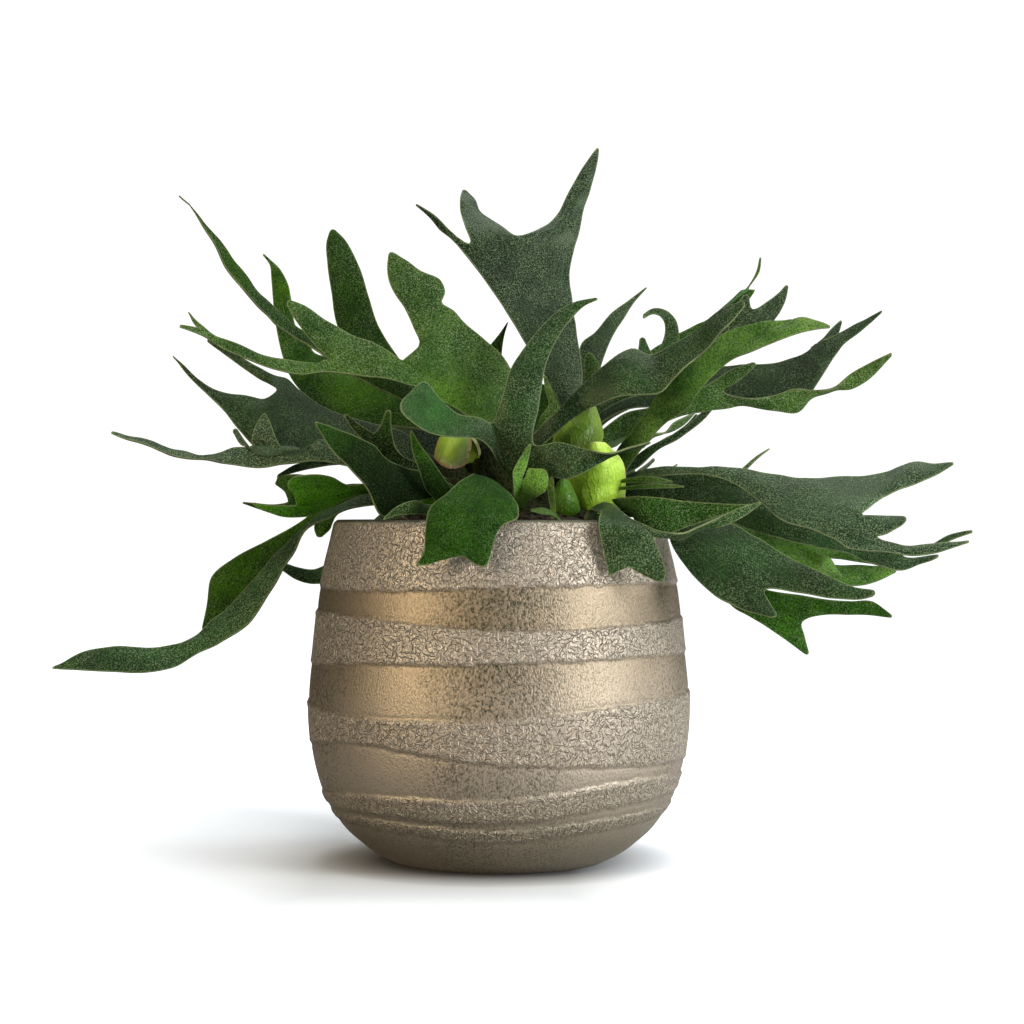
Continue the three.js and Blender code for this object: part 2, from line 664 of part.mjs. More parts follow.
    rows: [
      [28, 192, 36, 192, 20], [27, 206, 37, 207, 27], [20, 226, 38, 227, 40], [15, 246, 36, 247, 52],
      [16, 256, 33, 258, 58],
    ],
    forks: [[24, 258, 58]],
    lobes: [
      [[14.5, 263, 20, 264, 63], [14, 269, 15, 269, 67]],
      [[27, 265, 32, 264, 62], [31, 271, 32, 271, 66]],
    ],
  },
  {
    name: "frond_far_upright_left",
    finish: "dark",
    rows: [
      [-29, 197, -22, 197, 15], [-32, 210, -18, 210, 22], [-42, 226, -17, 227, 36], [-48, 240, -16, 242, 50],
    ],
    forks: [[-32, 246, 54]],
    lobes: [
      [[-50, 250, -39, 251, 59], [-52, 258, -50, 258.5, 66]],
      [[-28, 251, -19, 250, 58], [-24, 260, -22, 260, 64]],
    ],
  },
];

// Shield fronds clasp the stem, bulging towards the front
const SHIELDS = [
  {
    name: "shield_upper",
    arch: 0.42,
    columns: 6,
    rows: [
      [29, 226, 53, 227, 3], [30, 232, 54.5, 232, 2.5], [34, 238, 53.5, 238, 2], [40, 243.5, 51.5, 244.5, 1],
      [44, 246.5, 50, 248, 0],
    ],
  },
  {
    name: "shield_lower",
    arch: 0.42,
    columns: 6,
    rows: [
      [38, 187, 63, 192, 2, -6], [36, 196, 65.5, 197, 0, -6], [36, 205, 66.5, 206, -1, -6],
      [37, 212, 66.5, 213, -3, -6], [40, 218, 64.5, 219, -6, -4], [43, 223, 60, 224, -9, -2],
      [46, 227, 56, 227.5, -11, 0],
    ],
  },
  {
    name: "shield_small",
    arch: 0.35,
    columns: 4,
    rows: [
      [30, 186, 41, 186, -12], [29, 193, 42, 193, -14], [29, 200, 40, 200, -15], [31, 206, 37, 206.5, -14],
    ],
  },
  {
    name: "shield_hanging",
    arch: 0.25,
    columns: 4,
    rows: [
      [-9, 217, -21, 215, 2], [-12, 228, -28, 227, -7], [-15, 231, -31, 230, -13],
      [-15, 226, -33, 225, -17], [-18, 216, -34, 220, -20],
    ],
  },
];

// Fronds of the far side. Each has the shape of a drawn one, turned about the upright axis
// by so many degrees, and its root is moved to a place of its own.
const FAR_FRONDS = [
  { name: "frond_far_right", like: "frond_right_large", turn: 34, root: [48, 21, 184], size: 0.85 },
  { name: "frond_far_right_inner", like: "frond_left_felty", turn: -126, root: [42, 20, 188], size: 0.8 },
  { name: "frond_far_right_upper", like: "frond_right_pale", turn: 64, root: [41, 30, 204], size: 0.75 },
  { name: "frond_far_middle", like: "frond_left_big", turn: -104, root: [20, 24, 194], size: 1 },
  { name: "frond_far_middle_low", like: "frond_left_low_back", turn: -84, root: [4, 22, 189], size: 1.08 },
  { name: "frond_far_left_upper", like: "frond_right_dark", turn: 116, root: [-6, 22, 207], size: 0.95 },
  { name: "frond_far_left_inner", like: "frond_left_low_long", turn: -76, root: [-22, 18, 187], size: 0.85 },
  { name: "frond_far_left", like: "frond_left_low_bright", turn: -28, root: [-32, 14.5, 188], size: 1.05 },
];

/** Real place of a point drawn at x and height, at a depth behind the pot's axis. */
function place(x, height, depth) {
  const spread = (depth - EYE.y) / -EYE.y;
  const sideways = (x - EYE.x) * spread;
  const upwards = (height - DRAWING_DROP - EYE.z) * spread;
  return new THREE.Vector3(EYE.x + sideways, depth, EYE.z + upwards);
}

/**
 * Turns a drawn blade, or one lobe of it, into rows of real places. A tilted blade leans
 * away from the front: what lies higher than its middle lies deeper by its tilt.
 */
function fromDrawing(drawn, tilt = 0, level = null) {
  const strip = Array.isArray(drawn) ? { rows: drawn } : drawn;
  const rows = strip.rows.map(([leftX, leftHeight, rightX, rightHeight, depth, turn = 0]) => {
    const middle = level ?? (leftHeight + rightHeight) / 2;
    return {
      left: place(leftX, leftHeight, depth - turn / 2 + tilt * (leftHeight - middle)),
      right: place(rightX, rightHeight, depth + turn / 2 + tilt * (rightHeight - middle)),
    };
  });
  const last = strip.rows[strip.rows.length - 1];
  const forkLevel = level ?? (last[1] + last[3]) / 2;
  return {
    rows,
    columns: strip.columns,
    forks: strip.forks?.map(([x, height, depth]) => place(x, height, depth + tilt * (height - forkLevel))),
    lobes: strip.lobes?.map((lobe) => fromDrawing(lobe, tilt, forkLevel)),
  };
}

/** A blade turned about the upright axis, made smaller and moved to a new root. */
function turnedBlade(strip, { turn, root, size }) {
  const start = middleOf(strip.rows[0]);
  const move = (point) => {
    const reach = point.clone().sub(start).multiplyScalar(size);
    return reach.applyAxisAngle(UP, THREE.MathUtils.degToRad(turn)).add(new THREE.Vector3(...root));
  };
  const moveStrip = ({ rows, forks, lobes, columns }) => ({
    rows: rows.map(({ left, right }) => ({ left: move(left), right: move(right) })),
    columns,
    forks: forks?.map(move),
    lobes: lobes?.map(moveStrip),
  });
  return moveStrip(strip);
}

/** Columns of a strip: two in a plain tongue, and in a forked one all that its lobes have. */
function columnsOf(strip) {
  if (!strip.lobes) {
    return strip.columns ?? 2;
  }
  return strip.lobes.reduce((total, lobe) => total + columnsOf(lobe), 0);
}

/** How far along each row the lines between the columns lie, from 0 at the left to 1. */
function sharesOf(strip) {
  if (!strip.lobes) {
    const columns = columnsOf(strip);
    return Array.from({ length: columns + 1 }, (_, line) => line / columns);
  }
  const posts = forkRow(strip);
  const spans = strip.lobes.map((_, lobe) => posts[lobe].distanceTo(posts[lobe + 1]));
  const width = spans.reduce((total, span) => total + span, 0);
  const shares = [0];
  let start = 0;
  strip.lobes.forEach((lobe, index) => {
    const span = spans[index] / width;
    const inner = sharesOf(lobe).slice(1);
    shares.push(...inner.map((share) => start + share * span));
    start += span;
  });
  return shares;
}

/** The last row of a forked strip: its left end, its forks and its right end. */
function forkRow(strip) {
  const last = strip.rows[strip.rows.length - 1];
  return [last.left, ...strip.forks, last.right];
}

/** Points of one row of a strip, at the given shares of its width. */
function pointsOfRow(strip, index, shares) {
  const row = strip.rows[index];
  const forked = strip.lobes && index === strip.rows.length - 1;
  if (!forked) {
    return shares.map((share) => row.left.clone().lerp(row.right, share));
  }
  const posts = forkRow(strip);
  const points = [posts[0].clone()];
  strip.lobes.forEach((lobe, post) => {
    const inner = sharesOf(lobe).slice(1);
    points.push(...inner.map((share) => posts[post].clone().lerp(posts[post + 1], share)));
  });
  return points;
}

const middleOf = (row) => row.left.clone().lerp(row.right, 0.5);

/**
 * Lays a strip's rows into a sheet, from the seam that it grows out of, and then its lobes.
 * Margin widens it on both sides and behind its root, for the socket that holds it.
 */
function laySheet(sheet, strip, options, seam = null, travelled = 0) {
  const shares = sharesOf(strip);
  const middles = strip.rows.map(middleOf);
  let before = seam;
  let distance = travelled;
  strip.rows.forEach((row, index) => {
    const behind = middles[index - 1] ?? before?.middle ?? middles[index];
    const ahead = middles[index + 1] ?? middles[index];
    const heading = ahead.clone().sub(behind).normalize();
    const across = row.right.clone().sub(row.left);
    const width = across.length();
    const out = across.clone().cross(heading).normalize();
    distance += before ? middles[index].distanceTo(before.middle) : 0;
    const isTip = !strip.lobes && index === strip.rows.length - 1;
    const points = pointsOfRow(strip, index, shares);
    points.forEach((point, line) => {
      const bulge = 4 * shares[line] * (1 - shares[line]);
      point.addScaledVector(out, bulge * options.arch * width);
      point.addScaledVector(heading, isTip ? bulge * ROUND_TIP * width + options.margin : 0);
      point.addScaledVector(heading, before ? 0 : -options.margin);
    });
    widenRow(points, options.margin);
    const numbers = points.map((point) => sheet.points.push(point) - 1);
    points.forEach(() => sheet.travelled.push(distance));
    if (before) {
      weave(sheet, before.numbers, numbers);
    }
    before = { numbers, middle: middles[index] };
  });
  let line = 0;
  strip.lobes?.forEach((lobe) => {
    const columns = columnsOf(lobe);
    const numbers = before.numbers.slice(line, line + columns + 1);
    const ends = [sheet.points[numbers[0]], sheet.points[numbers[columns]]];
    const middle = ends[0].clone().lerp(ends[1], 0.5);
    laySheet(sheet, lobe, options, { numbers, middle }, distance);
    line += columns;
  });
  return sheet;
}

/** Moves the two ends of a row of points outwards, away from their neighbours. */
function widenRow(points, margin) {
  const last = points.length - 1;
  for (const [end, neighbour] of [[0, 1], [last, last - 1]]) {
    const outwards = points[end].clone().sub(points[neighbour]).normalize();
    points[end].addScaledVector(outwards, margin);
  }
}

/** Joins two rows of points with triangles that face the sheet's drawn side. */
function weave(sheet, near, far) {
  for (let line = 0; line < near.length - 1; line += 1) {
    sheet.faces.push([near[line], near[line + 1], far[line + 1]]);
    sheet.faces.push([near[line], far[line + 1], far[line]]);
  }
}

/** Mean direction in which the sheet faces at each of its points. */
function facings(sheet) {
  const normals = sheet.points.map(() => new THREE.Vector3());
  for (const [a, b, c] of sheet.faces) {
    const first = sheet.points[b].clone().sub(sheet.points[a]);
    const second = sheet.points[c].clone().sub(sheet.points[a]);
    const area = first.cross(second);
    [a, b, c].forEach((corner) => normals[corner].add(area));
  }
  return normals.map((normal) => normal.normalize());
}

/** Gives a sheet its thickness: stout at the root, and thin past the stalk's reach. */
function thicken(sheet, margin) {
  const count = sheet.points.length;
  const normals = facings(sheet);
  const places = [];
  for (const side of [1, -1]) {
    sheet.points.forEach((point, index) => {
      const nearRoot = Math.max(0, 1 - sheet.travelled[index] / STALK_REACH);
      const thickness = BLADE + (STALK - BLADE) * nearRoot ** 2;
      const shift = side * (thickness / 2 + margin);
      places.push(point.clone().addScaledVector(normals[index], shift));
    });
  }
  const faces = [...sheet.faces, ...sheet.faces.map(([a, b, c]) => [c + count, b + count, a + count])];
  for (const [a, b] of rimOf(sheet)) {
    faces.push([b, a, a + count], [b, a + count, b + count]);
  }
  return closedGeometry(places, faces);
}

/** Edges of a sheet that belong to one triangle only. */
function rimOf(sheet) {
  const edges = new Map();
  for (const [a, b, c] of sheet.faces) {
    [[a, b], [b, c], [c, a]].forEach((edge) => edges.set(edge.join(), edge));
  }
  return [...edges.values()].filter(([a, b]) => !edges.has([b, a].join()));
}

/** A geometry from places and triangles of their numbers. */
function closedGeometry(places, faces) {
  const geometry = new THREE.BufferGeometry();
  geometry.setAttribute("position", new THREE.Float32BufferAttribute(places.flatMap((p) => p.toArray()), 3));
  geometry.setIndex(faces.flat());
  return geometry;
}

/** A blade's closed geometry, or with a margin the space that it needs. */
function bladeGeometry(strip, arch = ARCH, margin = 0) {
  const sheet = laySheet({ points: [], travelled: [], faces: [] }, strip, { arch, margin });
  return thicken(sheet, margin);
}

/** The part of a blade that its socket holds: the first rows, up to one past the reach. */
function rootOf({ rows, columns }) {
  const start = middleOf(rows[0]);
  const held = rows.filter((row) => middleOf(row).distanceTo(start) < SOCKET_REACH);
  return { rows: rows.slice(0, held.length + 1), columns };
}

/** A geometry as a solid that can be cut and joined. */
function solidFrom(geometry) {
  const bare = geometry.clone();
  bare.deleteAttribute("normal");
  bare.deleteAttribute("uv");
  const merged = mergeVertices(bare);
  const mesh = new wasm.Mesh({
    numProp: 3,
    vertProperties: new Float32Array(merged.attributes.position.array),
    triVerts: new Uint32Array(merged.index.array),
  });
  mesh.merge();
  return new wasm.Manifold(mesh);
}

/** The largest single body of a solid, as a geometry. */
function geometryFrom(solid) {
  const bodies = solid.decompose();
  const largest = bodies.reduce((best, body) => (body.volume() > best.volume() ? body : best));
  const mesh = largest.getMesh();
  const geometry = new THREE.BufferGeometry();
  geometry.setAttribute("position", new THREE.Float32BufferAttribute(mesh.vertProperties, 3));
  geometry.setIndex([...mesh.triVerts]);
  return geometry;
}

const potCurve = new THREE.SplineCurve(POT_OUTLINE.map((point) => new THREE.Vector2(...point)));
const potSamples = potCurve.getPoints(CURVE_SAMPLES);

/** Radius of the pot's outer wall at a height. */
function potRadius(height) {
  const above = potSamples.findIndex((sample) => sample.y >= height);
  if (above <= 0) {
    return above === 0 ? potSamples[0].x : potSamples[potSamples.length - 1].x;
  }
  const low = potSamples[above - 1];
  const high = potSamples[above];
  return THREE.MathUtils.mapLinear(height, low.y, high.y, low.x, high.x);
}

/** Height of a band's edge at an angle, smooth all the way round the pot. */
function edgeHeight(heights, angle) {
  const turn = ((angle + Math.PI) / (2 * Math.PI)) * heights.length;
  const first = Math.floor(turn);
  const share = turn - first;
  const at = (offset) => heights[(first + offset + heights.length) % heights.length];
  const slopeIn = (at(1) - at(-1)) / 2;
  const slopeOut = (at(2) - at(0)) / 2;
  const rise = at(1) - at(0);
  const ease = share * share * (3 - 2 * share);
  return at(0) + rise * ease + share * (1 - share) * ((1 - share) * slopeIn - share * slopeOut);
}

/** One closed wall of rings: each ring is a function of the angle that gives radius and height. */
function ringGeometry(rings, segments) {
  const places = [];
  const faces = [];
  rings.forEach((ring) => {
    for (let segment = 0; segment < segments; segment += 1) {
      const angle = -Math.PI + (segment / segments) * 2 * Math.PI;
      const { radius, height } = ring(angle);
      places.push(new THREE.Vector3(radius * Math.sin(angle), -radius * Math.cos(angle), height));
    }
  });
  const number = (ring, segment) => ring * segments + (segment % segments);
  for (let ring = 0; ring < rings.length - 1; ring += 1) {
    for (let segment = 0; segment < segments; segment += 1) {
      const [a, b] = [number(ring, segment), number(ring, segment + 1)];
      const [c, d] = [number(ring + 1, segment + 1), number(ring + 1, segment)];
      faces.push([a, b, c], [a, c, d]);
    }
  }
  for (const [ring, flip] of [[0, true], [rings.length - 1, false]]) {
    const middle = new THREE.Vector3(0, 0, rings[ring](0).height);
    const centre = places.push(middle) - 1;
    for (let segment = 0; segment < segments; segment += 1) {
      const [a, b] = [number(ring, segment), number(ring, segment + 1)];
      faces.push(flip ? [b, a, centre] : [a, b, centre]);
    }
  }
  return closedGeometry(places, faces);
}

/** The pot: foot, banded belly, rounded lip and plain inside. */
function potGeometry() {
  const wall = (height, shift = 0) => () => ({ radius: potRadius(height) + shift, height });
  const bandEdge = (edge, side) => (angle) => {
    const height = edgeHeight(edge.heights, angle) - side * STEP_SLOPE;
    const raised = edge.step * side > 0 ? RELIEF : 0;
    return { radius: potRadius(height) + raised, height };
  };
  const brim = (shift) => () => ({ radius: potRadius(POT_HEIGHT) + shift, height: POT_HEIGHT });
  const edges = [...BAND_EDGES].reverse();
  const rings = [
    ...FOOT_RINGS.map((height) => wall(height)),
    ...edges.flatMap((edge) => [bandEdge(edge, 1), bandEdge(edge, -1)]),
    ...NECK_RINGS.map((height) => wall(height, RELIEF)),
    wall(POT_HEIGHT - 1),
    brim(-LIP_ROUND),
    brim(LIP_ROUND - WALL),
    wall(POT_HEIGHT - LIP_ROUND, -WALL),
    ...INSIDE_RINGS.map((height) => wall(height, -WALL)),
    wall(FLOOR, -WALL),
  ];
  return ringGeometry(rings, POT_SEGMENTS);
}

/** The potting mix: fills the pot to under its lip and rises to the crown, with a crumbly top. */
function mixGeometry() {
  const gap = WALL + SOIL_GAP;
  const edge = POT_HEIGHT - SOIL_DROP;
  const side = (height) => () => ({ radius: potRadius(height) - gap, height });
  const top = (share) => (angle) => {
    const mound = (SOIL_DROP + SOIL_CROWN) * Math.cos((share * Math.PI) / 2);
    const crumbs = CRUMB * Math.sin(angle * 7 + share * 11) * Math.sin(angle * 4 - share * 17);
    return { radius: (potRadius(edge) - gap) * share, height: edge + mound + crumbs };
  };
  const heights = [edge, ...INSIDE_RINGS, FLOOR + SOIL_GAP].reverse();
  return ringGeometry([...heights.map(side), ...SOIL_RINGS.map(top)], POT_SEGMENTS);
}

/** The creeping stem's lumps, joined, with a margin on each. */
function stemSolid(margin) {
  const lumps = STEM_LUMPS.map(({ at, size }) => {
    const lump = new THREE.SphereGeometry(1, LUMP_SEGMENTS, LUMP_RINGS);
    const [wide, deep, high] = size.map((half) => half + margin);
    lump.scale(wide, high, deep);
    lump.rotateX(Math.PI / 2);
    const middle = place(...at);
    lump.translate(middle.x, middle.y, middle.z);
    return solidFrom(lump);
  });
  return lumps.reduce((whole, lump) => whole.add(lump));
}

const plant = new THREE.Group();

function addPiece(name, geometry, finish) {
  const material = new THREE.MeshStandardMaterial({ ...FINISHES[finish], name: finish });
  const mesh = new THREE.Mesh(geometry, material);
  mesh.name = name;
  plant.add(mesh);
}

const blades = [
  ...FRONDS.map((frond) => ({ ...frond, strip: fromDrawing(frond, frond.tilt) })),
  ...SHIELDS.map((shield) => ({ ...shield, finish: "shield", strip: fromDrawing(shield) })),
];
FAR_FRONDS.forEach((frond) => {
  const { strip, finish } = blades.find((blade) => blade.name === frond.like);
  blades.push({ name: frond.name, finish, strip: turnedBlade(strip, frond) });
});
blades.forEach(({ name, strip, arch, finish }) => addPiece(name, bladeGeometry(strip, arch), finish));

const sockets = blades.map(({ strip, arch }) => solidFrom(bladeGeometry(rootOf(strip), arch, SOCKET_GAP)));
const stem = sockets.reduce((solid, socket) => solid.subtract(socket), stemSolid(0));
const mix = sockets.reduce((solid, socket) => solid.subtract(socket), solidFrom(mixGeometry()));

addPiece("rhizome", geometryFrom(stem), "stem");
addPiece("potting_mix", geometryFrom(mix.subtract(stemSolid(STEM_GAP))), "mix");
addPiece("pot", potGeometry(), "glaze");

export default plant;
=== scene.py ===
import math

import bpy
import numpy as np
from bpy.props import FloatProperty, FloatVectorProperty, PointerProperty
from bpy.types import Operator, Panel, PropertyGroup
from mathutils import Euler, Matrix, Vector, kdtree, noise


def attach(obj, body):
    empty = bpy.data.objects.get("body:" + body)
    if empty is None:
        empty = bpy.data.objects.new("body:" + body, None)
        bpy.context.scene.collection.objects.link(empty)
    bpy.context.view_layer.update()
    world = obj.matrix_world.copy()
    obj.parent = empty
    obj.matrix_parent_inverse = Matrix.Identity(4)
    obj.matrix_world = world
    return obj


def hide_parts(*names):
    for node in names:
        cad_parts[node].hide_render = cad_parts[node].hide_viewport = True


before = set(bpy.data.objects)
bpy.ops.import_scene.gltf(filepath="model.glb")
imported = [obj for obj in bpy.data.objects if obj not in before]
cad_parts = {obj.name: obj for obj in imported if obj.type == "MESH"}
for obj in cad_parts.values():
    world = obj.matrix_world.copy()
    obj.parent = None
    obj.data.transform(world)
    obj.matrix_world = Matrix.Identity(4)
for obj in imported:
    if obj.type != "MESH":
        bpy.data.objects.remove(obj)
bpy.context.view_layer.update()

bl_info = {
    "name": "Potted staghorn fern",
    "version": (1, 0, 0),
    "blender": (4, 5, 0),
    "location": "View3D > Sidebar > Staghorn",
    "description": "Dresses the packed frame of a staghorn fern in its glazed pot",
    "category": "Object",
}

# The drawn tables below are in millimetres, and everything that is made is in metres.
MM = 0.001

# The blades' outlines are drawn as seen by an eye in front of the pot. Their heights are
# read from a line this far under the table.
EYE = (6.9, -1250.0, 183.0)
DRAWING_DROP = 8.2
EYE_LENS = 83.06

# Blades: their thickness thins from the stalk's to the blade's over the stalk's reach
BLADE = 0.9
STALK = 2.4
STALK_REACH = 60.0
ARCH = 0.06
ROUND_TIP = 0.35
TONGUE_COLUMNS = 8
SHIELD_COLUMNS = 24
ROW_STEP = 2.2
NOTCH_ROUNDING = 0.8
NOTCH_SHARE = 0.35
SMOOTH_ANGLE = 50

# Waves: the slow ones grow to their full height over the wave's start, and the ruffles die
# out from the edge inwards over their reach. Small blades and shields have a wave and a
# ruffle of their own.
WAVE_SPAN = 34
WAVE_START = 70
RUFFLE_SPAN = 11
RUFFLE_REACH = 5
SMALL_WAVES = (0.4, 0.3)
SMALL_SEED = 60
SHIELD_WAVES = (1.2, 0.8)
SHIELD_SEED = 80

# Pot
POT_HEIGHT = 179.0
WALL = 6.5
FLOOR = 9.0
RELIEF = 0.65
STEP_SLOPE = 0.7
EDGE_WIDTH = 0.75
LIP_ROUND = 1.5
POT_SIDES = 480
POT_OUTLINE = [
    (56, 0), (66, 5), (74.4, 11.5), (81.4, 18), (87.8, 27), (93, 37), (98.4, 58), (100.2, 84),
    (97.8, 112), (93.9, 145), (88.7, 168), (86.2, POT_HEIGHT),
]

# Edges of the rough bands, from the top down. Each has its heights on the wall at every
# 45 degrees, counted from the back (-180) through the left side (-90) and the front (0).
BAND_EDGES = [
    (-1, (148, 146, 144.8, 143.3, 146, 146.9, 146.2, 147)),
    (1, (128, 131, 132, 130, 124.8, 126.2, 128.3, 126)),
    (-1, (107, 105, 103.6, 106.8, 108.9, 110.6, 109.7, 108)),
    (1, (87, 88, 84.7, 80.2, 81.3, 86.9, 89.4, 90)),
    (-1, (58, 60, 61.8, 67.5, 59.7, 56.4, 54.4, 55)),
    (1, (41, 38, 36.8, 41.1, 41.6, 48.1, 46.3, 43)),
    (-1, (34, 33, 32.1, 31.6, 29.8, 36.6, 38.2, 37)),
    (1, (28, 27.5, 27.4, 28.1, 25.7, 30.2, 31.4, 31)),
    (-1, (22, 23, 23.4, 23.6, 19.6, 24.6, 26, 25)),
]

# Lips along the upper (1) and lower (-1) edges: height, place and width of the crest, and
# depth, place and width of the trough beside it
BAND_LIPS = {1: (0.45, 1.2, 1.1, 0.35, -1.1, 0.8), -1: (0.25, -1.3, 1.0, 0.25, 1.0, 0.8)}

# Strokes of the rough bands: the size and the shift of each layer, on the unrolled wall
UNROLLED = 0.096
RIDGES = ((0.0032, 0.0), (0.0024, 0.4), (0.0038, 0.6))
GROOVES = ((0.0031, 0.7), (0.0024, 0.9), (0.0037, 0.2))

# Soft lights: place, size and colour
SOFT_LIGHTS = {
    "key": ((1.12, -0.72, 0.5), (0.55, 1.0), (1.0, 0.98, 0.95)),
    "side": ((1.22, 0.3, 0.45), (0.6, 1.0), (1.0, 0.99, 0.97)),
    "fill": ((-0.96, -0.86, 0.5), (0.3, 0.9), (1.0, 0.8, 0.54)),
    "top": ((0.1, 0.2, 1.35), (1.1, 0.9), (1.0, 1.0, 1.0)),
}
AIM = (0, 0, 0.16)

# Potting mix and creeping stem
SOIL_DROP = 6.0
SOIL_CROWN = 4.0
SOIL_GAP = 0.35
CRUMBS = 420
CRUMB_SEED = 7
STEM_VOXEL = 1.6
STEM_LUMPS = [
    ((51, 200, 5), (11, 13.5, 26)),
    ((43, 222, 15), (10, 20, 24)),
    ((8, 196, 6), (20, 18, 30)),
    ((-2, 212, 10), (14, 16, 22)),
    ((-24, 192, 4), (16, 16, 24)),
    ((-28, 206, 2), (12, 12, 16)),
    ((10, 186, 6), (60, 28, 14)),
    ((-17, 214, 20), (9, 8, 13)),
    ((27, 204, 17), (9, 8, 14)),
]


# Drawn blades


def forked(rows, forks=(), lobes=()):
    """Rows that end in forks, with the lobes between them."""
    return {"rows": rows, "forks": forks, "lobes": lobes}


def blade(name, finish, rows, forks=(), lobes=(), tilt=0.0, look=None, arch=ARCH):
    """A drawn blade, with a look of its own where it differs from its finish."""
    made = {"name": name, "finish": finish, "tilt": tilt, "look": look, "arch": arch}
    return {**made, **forked(rows, forks, lobes)}


